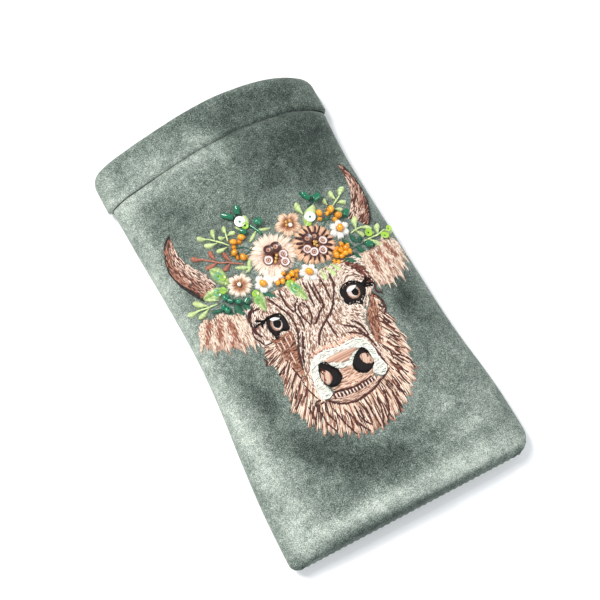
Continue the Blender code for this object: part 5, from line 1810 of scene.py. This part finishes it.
def sprigs():
    """Stems with buds, and the buds that have no stem of their own."""
    for name, colour, half, stems, buds in (
        ("sprig_upper_left", PALE_LEAF, 1.05,
         [[(-17.5, 32.5), (-20, 35.4), (-23, 38.2), (-25.6, 39.8)],
          [(-17.2, 34.4), (-16.7, 37), (-16.2, 38.6)]],
         [(-23.6, 38.6, -27, 40.8, 1.2), (-21.2, 37.2, -20.6, 41.2), (-21, 35.4, -26, 36.6, 1.2),
          (-18.6, 32.4, -22.8, 32.2), (-16.5, 37.2, -16.2, 40.4), (-17.4, 36, -19.8, 37),
          (-16.6, 36.4, -13.2, 36.6, 1.1)]),
        ("sprig_brown", (178, 112, 90), 1.05,
         [[(-16, 23.6), (-20, 26.2), (-24, 28.4), (-27, 30.8), (-30, 33.2)]],
         [(-28.6, 31.8, -32.6, 34.8), (-24.8, 29.6, -25.4, 34), (-24.6, 28.6, -29.4, 28.2, 1.2),
          (-19.8, 26.4, -21, 31, 1.0), (-20.4, 26.2, -23.6, 24.6, 1.1)]),
        ("sprig_lower_left", PALE_LEAF, 1.15,
         [[(-31.4, 14.5), (-35, 14.8), (-39, 15.8), (-41.6, 16)]],
         [(-38.4, 15.4, -43, 16.2, 1.1), (-34.8, 15.2, -39.4, 19.2, 1.3),
          (-35, 14.4, -40, 12.8, 1.1), (-30.6, 15.4, -35, 18.4, 0.9)]),
        ("sprig_upper_right", PALE_LEAF, 1.1,
         [[(25.2, 29.4), (27.6, 30.8), (30.2, 32.4), (32, 34)]],
         [(30, 32.2, 33.4, 35.4, 1.3), (28, 31.4, 27.4, 35.6), (24, 30.6, 23.8, 33.6, 0.9),
          (28, 30, 31.4, 29.4), (25.6, 28.2, 28.6, 26.8, 1.0)]),
        ("sprig_right", PALE_LEAF, 1.2,
         [[(26.8, 16.8), (29, 17.3), (32, 17.2), (34.6, 15.6)],
          [(30, 11.8), (33, 12), (36, 12), (40.4, 13.4)]],
         [(29.4, 17.4, 31.4, 22.2, 1.3), (29, 16.8, 31.2, 13.8, 1.1),
          (31.4, 17.2, 35.2, 15.4, 1.4), (36.6, 12.2, 38.6, 16.4, 1.2),
          (32, 11.8, 35.6, 8, 1.1), (33.6, 12.6, 35, 13.8, 0.9), (39.6, 13, 42.6, 11.6, 1.0)]),
    ):
        work = Work(name, "thread_brown" if "brown" in name else "thread_leaf", name)
        dark_lines(work, stems, colour, 0.36, 0.4)
        add_buds(work, buds, colour, half)
        work.build()
    work = Work("single_buds", "thread_leaf")
    add_buds(work, [(13.6, 31.2, 13, 36.6, 1.4), (9, 8.8, 9.4, 4, 1.1),
                    (11.2, 9, 13.4, 4, 1.3), (13.6, 9, 16.2, 5.2, 1.1)], PALE_LEAF)
    work.build()


def beads():
    amber_beads("amber_upper_left", [(-15.6, 33, 1.35), (-12, 33.2, 1.45), (-17.1, 29, 1.4),
                                     (-15, 25.8, 1.4)],
                [(-16.2, 31.2), (-13.4, 32.2), (-16.8, 27.2), (-14, 25.6)],
                "amber_beads_upper_left")
    amber_beads("amber_centre", [(-7.9, 11, 1.1), (-6, 10.7, 1.15), (-3.5, 11.1, 1.2),
                                 (-1.6, 11.8, 1.25), (-12.9, 13.3, 1.6), (4.6, 9.5, 1.6)],
                [(-4.5, 13.4), (-0.4, 10.6), (-2.2, 9.6), (0.6, 12)], "amber_beads_centre")
    amber_beads("amber_right", [(17.2, 11, 1.5), (18.9, 9.9, 1.2), (22, 12, 1.5),
                                (20.7, 10.3, 1.3), (22.6, 10.3, 1.2), (19.6, 11.8, 1.3)],
                [(19, 13.4), (21.4, 14.2), (15.6, 9.2), (17, 8.4), (23.2, 12.8),
                 (20.2, 12.6), (17.6, 12.4)],
                "amber_beads_right")
    amber_beads("amber_upper_right", [(19.2, 28.8, 1.4), (24, 28.5, 1.5), (25.6, 24.9, 1.5),
                                      (23.7, 20, 1.6)],
                [(18.6, 26.8), (22.6, 27.8), (24, 24.2)], "amber_beads_upper_right")
    green_beads("green_top", [(-12.8, 43.1, 0.95, 2.0, -42), (-8.6, 43.6, 1.05, 1.4, 68),
                              (-3.7, 35.9, 1.55, 0, 60), (-10.4, 34.8, 0.95, 1.1, -50),
                              (-5.6, 33.6, 0.5, 2.4, -66)], "green_beads_top")
    green_beads("green_upper_right", [(18, 37.4, 1.0, 1.6, -66), (21.4, 35, 1.25, 1.3, 10),
                                      (28.7, 24.6, 0.95, 1.2, 40), (31, 9.8, 1.1, 1.2, -30)],
                "green_beads_upper_right")
    green_beads("green_lower_left", [(-27.8, 14.9, 1.15, 0, 20), (-26.8, 13, 0.8, 0.9, -30),
                                     (-30.2, 12, 0.75, 0.9, 50), (-24.4, 11.2, 1.1, 0, 60),
                                     (-29.3, 10.2, 1.15, 0, 0), (-21.6, 10.2, 0.95, 1.0, 30)],
                "green_beads_lower_left")


def blossom_sequins():
    """In each big blossom: small cupped sequins, rings around its heart and gilt beads."""
    for name, dots, rings, gilt in (
        ("sequins_blossom_left", [(-5.5, 23.9, 1.5), (-2.4, 23.9, 1.6)],
         [(-7.2, 20.3), (-1.1, 20), (-1.7, 17)], [(-4.4, 19.6), (-3.6, 20.6), (-5.2, 18.6)]),
        ("sequins_blossom_right", [(9.9, 21.4, 1.7), (12.9, 21.2, 1.5)],
         [(8, 17.7), (15.2, 18.4), (13.4, 15), (9.9, 15.8)],
         [(11.4, 18.4), (12.4, 18.9), (11.7, 19.4), (12, 17.4)]),
    ):
        trim = Trim(name, "sequin_pearl", name)
        for x, y, radius in dots:
            trim.turned((x, y), sequin_profile(radius * 1.3, 0.9, 0.4), PLUM, 1.3,
                        (RNG.uniform(-0.2, 0.2), 0.2, 1))
            trim.turned((x, y), sequin_profile(radius * 0.6, 0.3, 0.2), (176, 128, 108), 1.35,
                        (0, 0.2, 1))
        for x, y in rings:
            ring_sequin(trim, x, y)
        for x, y in gilt:
            trim.turned((x, y), bead_profile(0.6), GOLD, 1.75, BEAD_LEAN, 14)
        trim.build()


def loose_sequins():
    """The two pearl sequins with a lime one under each, and the green ones around."""
    for name, place, extra in (("sequin_top", (-9.6, 39.2), (-8.5, 36.9)),
                               ("sequin_upper_right", (15.4, 29), (13.7, 27.4))):
        trim = Trim(name, "sequin_pearl", name)
        trim.turned(extra, sequin_profile(1.4, 0.4, 0.3), LIME, 0.75, (0.1, -0.3, 1))
        trim.turned(place, sequin_profile(2.15, 0.42, 0.32), PEARL, 0.95, (0.08, 0.05, 1))
        trim.turned(place, bead_profile(0.5), (60, 130, 70), 1.0, BEAD_LEAN, 14)
        trim.build()
    trim = Trim("sequins_green", "sequin_pearl")
    for x, y, radius, colour in (
        (33, 14, 1.6, LIME), (38.6, 10.6, 1.7, LIME), (41.6, 13, 1.3, (168, 208, 70)),
        (-17.5, 11, 1.35, LIME), (-3.9, 8.8, 1.35, LIME), (-25.5, 22.4, 1.25, LIME),
        (-27.6, 18, 1.35, LIME),
    ):
        trim.turned((x, y), sequin_profile(radius, 0.35, 0.35), colour, 0.95,
                    (RNG.uniform(-0.3, 0.3), RNG.uniform(-0.3, 0.3), 1))
    for x, y, radius, colour in (
        (-26.7, 23.8, 1.5, (96, 158, 120)), (-29.7, 18.2, 1.5, (96, 158, 120)),
        (-17.5, 8.4, 1.5, (120, 178, 90)), (-3.3, 6.2, 1.6, (86, 158, 110)),
    ):
        trim.turned((x, y), sequin_profile(radius, 0.6, 0.35), colour, 0.85,
                    (RNG.uniform(-0.15, 0.15), -0.15, 1))
        trim.turned((x, y), bead_profile(0.5), (90, 160, 50), 1.05, BEAD_LEAN, 14)
    trim.build()


def blossom_hearts():
    """Small beads in the middle of the two small blossoms."""
    trim = Trim("blossom_hearts", "sequin_pearl")
    for x, y, radius, colour in (
        (-21.2, 17, 0.8, (246, 240, 232)), (-21.7, 17.9, 0.55, (150, 92, 60)),
        (7, 29.3, 0.85, (250, 248, 244)), (7.6, 31, 0.6, GOLD), (6, 31.2, 0.6, GOLD),
        (5.6, 29.9, 0.55, GOLD), (8, 30.2, 0.5, (150, 92, 50)), (-20.6, 17.6, 0.45, GOLD),
    ):
        trim.turned((x, y), bead_profile(radius), colour, 1.4, BEAD_LEAN, 16)
    trim.build()


# ------------------------------------------------------------------ backing and seams


def laid_stitches(name, body, slot, node, track, outward, colour, gap=2.6, radius=0.2):
    """Stitches along a line in space; outward is the way they stand from the cloth."""
    work = Work(name, slot, node)
    track = np.asarray(track, float)
    steps = np.linalg.norm(np.diff(track, axis=0), axis=1)
    along = np.concatenate([[0], np.cumsum(steps)])
    count = max(int(along[-1] / gap), 2)
    starts = np.arange(count) * gap
    t = np.linspace(0.05, 0.95, 7)
    at = starts[:, None] + gap * t
    place = np.stack([np.interp(at, along, track[:, k]) for k in range(3)], -1)
    stand = np.stack([np.interp(at, along, outward[:, k]) for k in range(3)], -1)
    rise = (np.sin(pi * t) * 0.35 - 0.12)[None, :, None]
    width = np.broadcast_to(radius * (0.5 + 0.5 * np.sin(pi * t)), at.shape)
    paint = np.broadcast_to(varied(colour, count, 6)[:, None], (count, 7, 3))
    work.laid.append((place + stand * rise, stand, paint, width, 0.9))
    work.body = body
    work.build()


def seams():
    """The stitching under both casings, and the seam around the sides and the bottom."""
    for word, side in (("front", 1), ("back", -1)):
        u = np.linspace(-0.94, 0.94, 160)
        y = seam_y(u) - 0.15
        x = x_across(y, u)
        z = (front_z if side > 0 else back_z)(x, y, u, 0) - side * 0.9
        if side < 0:
            z = np.maximum(z, 0.25)
        track = np.stack([x, y, z], -1)
        out = np.tile(np.array([0, -0.3, float(side)]), (len(u), 1))
        laid_stitches(f"{word}_band_stitches", word, "seam_thread",
                      f"{word}_casing_thread", track, out, (96, 112, 106))
    rise = np.linspace(0, 1, 200)
    y = BOTTOM + 0.35 + (seam_y(1) - BOTTOM - 1) * rise**1.4
    left, right = edges(y)
    sides = [np.stack([left + 0.25, y, np.full_like(y, SEAM_Z)], -1)[::-1],
             np.stack([right - 0.25, y, np.full_like(y, SEAM_Z)], -1)]
    foot = np.linspace(left[0] + 0.3, right[0] - 0.3, 160)
    low = np.stack([foot, np.full_like(foot, BOTTOM + 0.1), np.full_like(foot, SEAM_Z)], -1)
    track = np.concatenate([sides[0], low[1:-1], sides[1]])
    out = np.zeros_like(track)
    out[:len(y), 0], out[-len(y):, 0] = -1, 1
    out[len(y):-len(y), 1] = -1
    laid_stitches("edge_stitches", "back", "seam_thread", "perimeter_seam_thread", track, out,
                  (132, 148, 140))


def stabiliser():
    """The white backing under the embroidery, between the velvet and the wadding."""
    widest = np.linspace(-0.86, 0.86, 70)
    grid = []
    for y in np.linspace(-60, 50, 90):
        u = widest * (1 - 0.25 * abs((y + 5) / 56) ** 7)
        level = np.full_like(u, y)
        x = x_across(level, u, 1.6)
        grid.append(np.stack([x, level, front_z(x, level, u, 1.55)], -1))
    sheet = sheet_from_grid("stabiliser", np.array(grid), "backing", 0.2)
    finish_piece(sheet, "front", "embroidery_backing")


MATERIALS.update({
    "velvet": velvet_material(),
    "padding": fibre_material("padding", (225, 225, 220), (250, 250, 247)),
    "lining": woven_material("lining", (128, 137, 135), (166, 174, 172)),
    "backing": woven_material("backing", (225, 225, 220), (250, 250, 248), 2.0, 0.9),
    "spring_steel": worn_material("spring_steel", (150, 152, 156), (190, 192, 196), 900,
                                  Roughness=0.28, Metallic=1.0),
    "thread_pink": thread_material("thread_pink", CREAM),
    "thread_brown": thread_material("thread_brown", RUST),
    "thread_white": thread_material("thread_white", WHITE),
    "thread_black": thread_material("thread_black", BLACK, 0.6, 0.0, 0.2),
    "thread_peach": thread_material("thread_peach", PEACH),
    "thread_leaf": thread_material("thread_leaf", PALE_LEAF),
    "seam_thread": thread_material("seam_thread", (102, 118, 112)),
    "bead_amber": bead_material("bead_amber", AMBER),
    "bead_green": bead_material("bead_green", (0, 122, 88)),
    "sequin_pearl": bead_material("sequin_pearl", (240, 238, 240), 0.0, 0.3),
    "end_cap": worn_material("end_cap", (18, 18, 19), (34, 34, 36), 700, Roughness=0.5),
})
for make in (place_camera, studio, pouch,
             horns, ears, face, cheeks, muzzle, nose, nostrils, mouth, eyes, beard,
             blossoms, daisies, leaves, small_leaves, sprigs,
             beads, blossom_sequins, loose_sequins, blossom_hearts, seams):
    make()
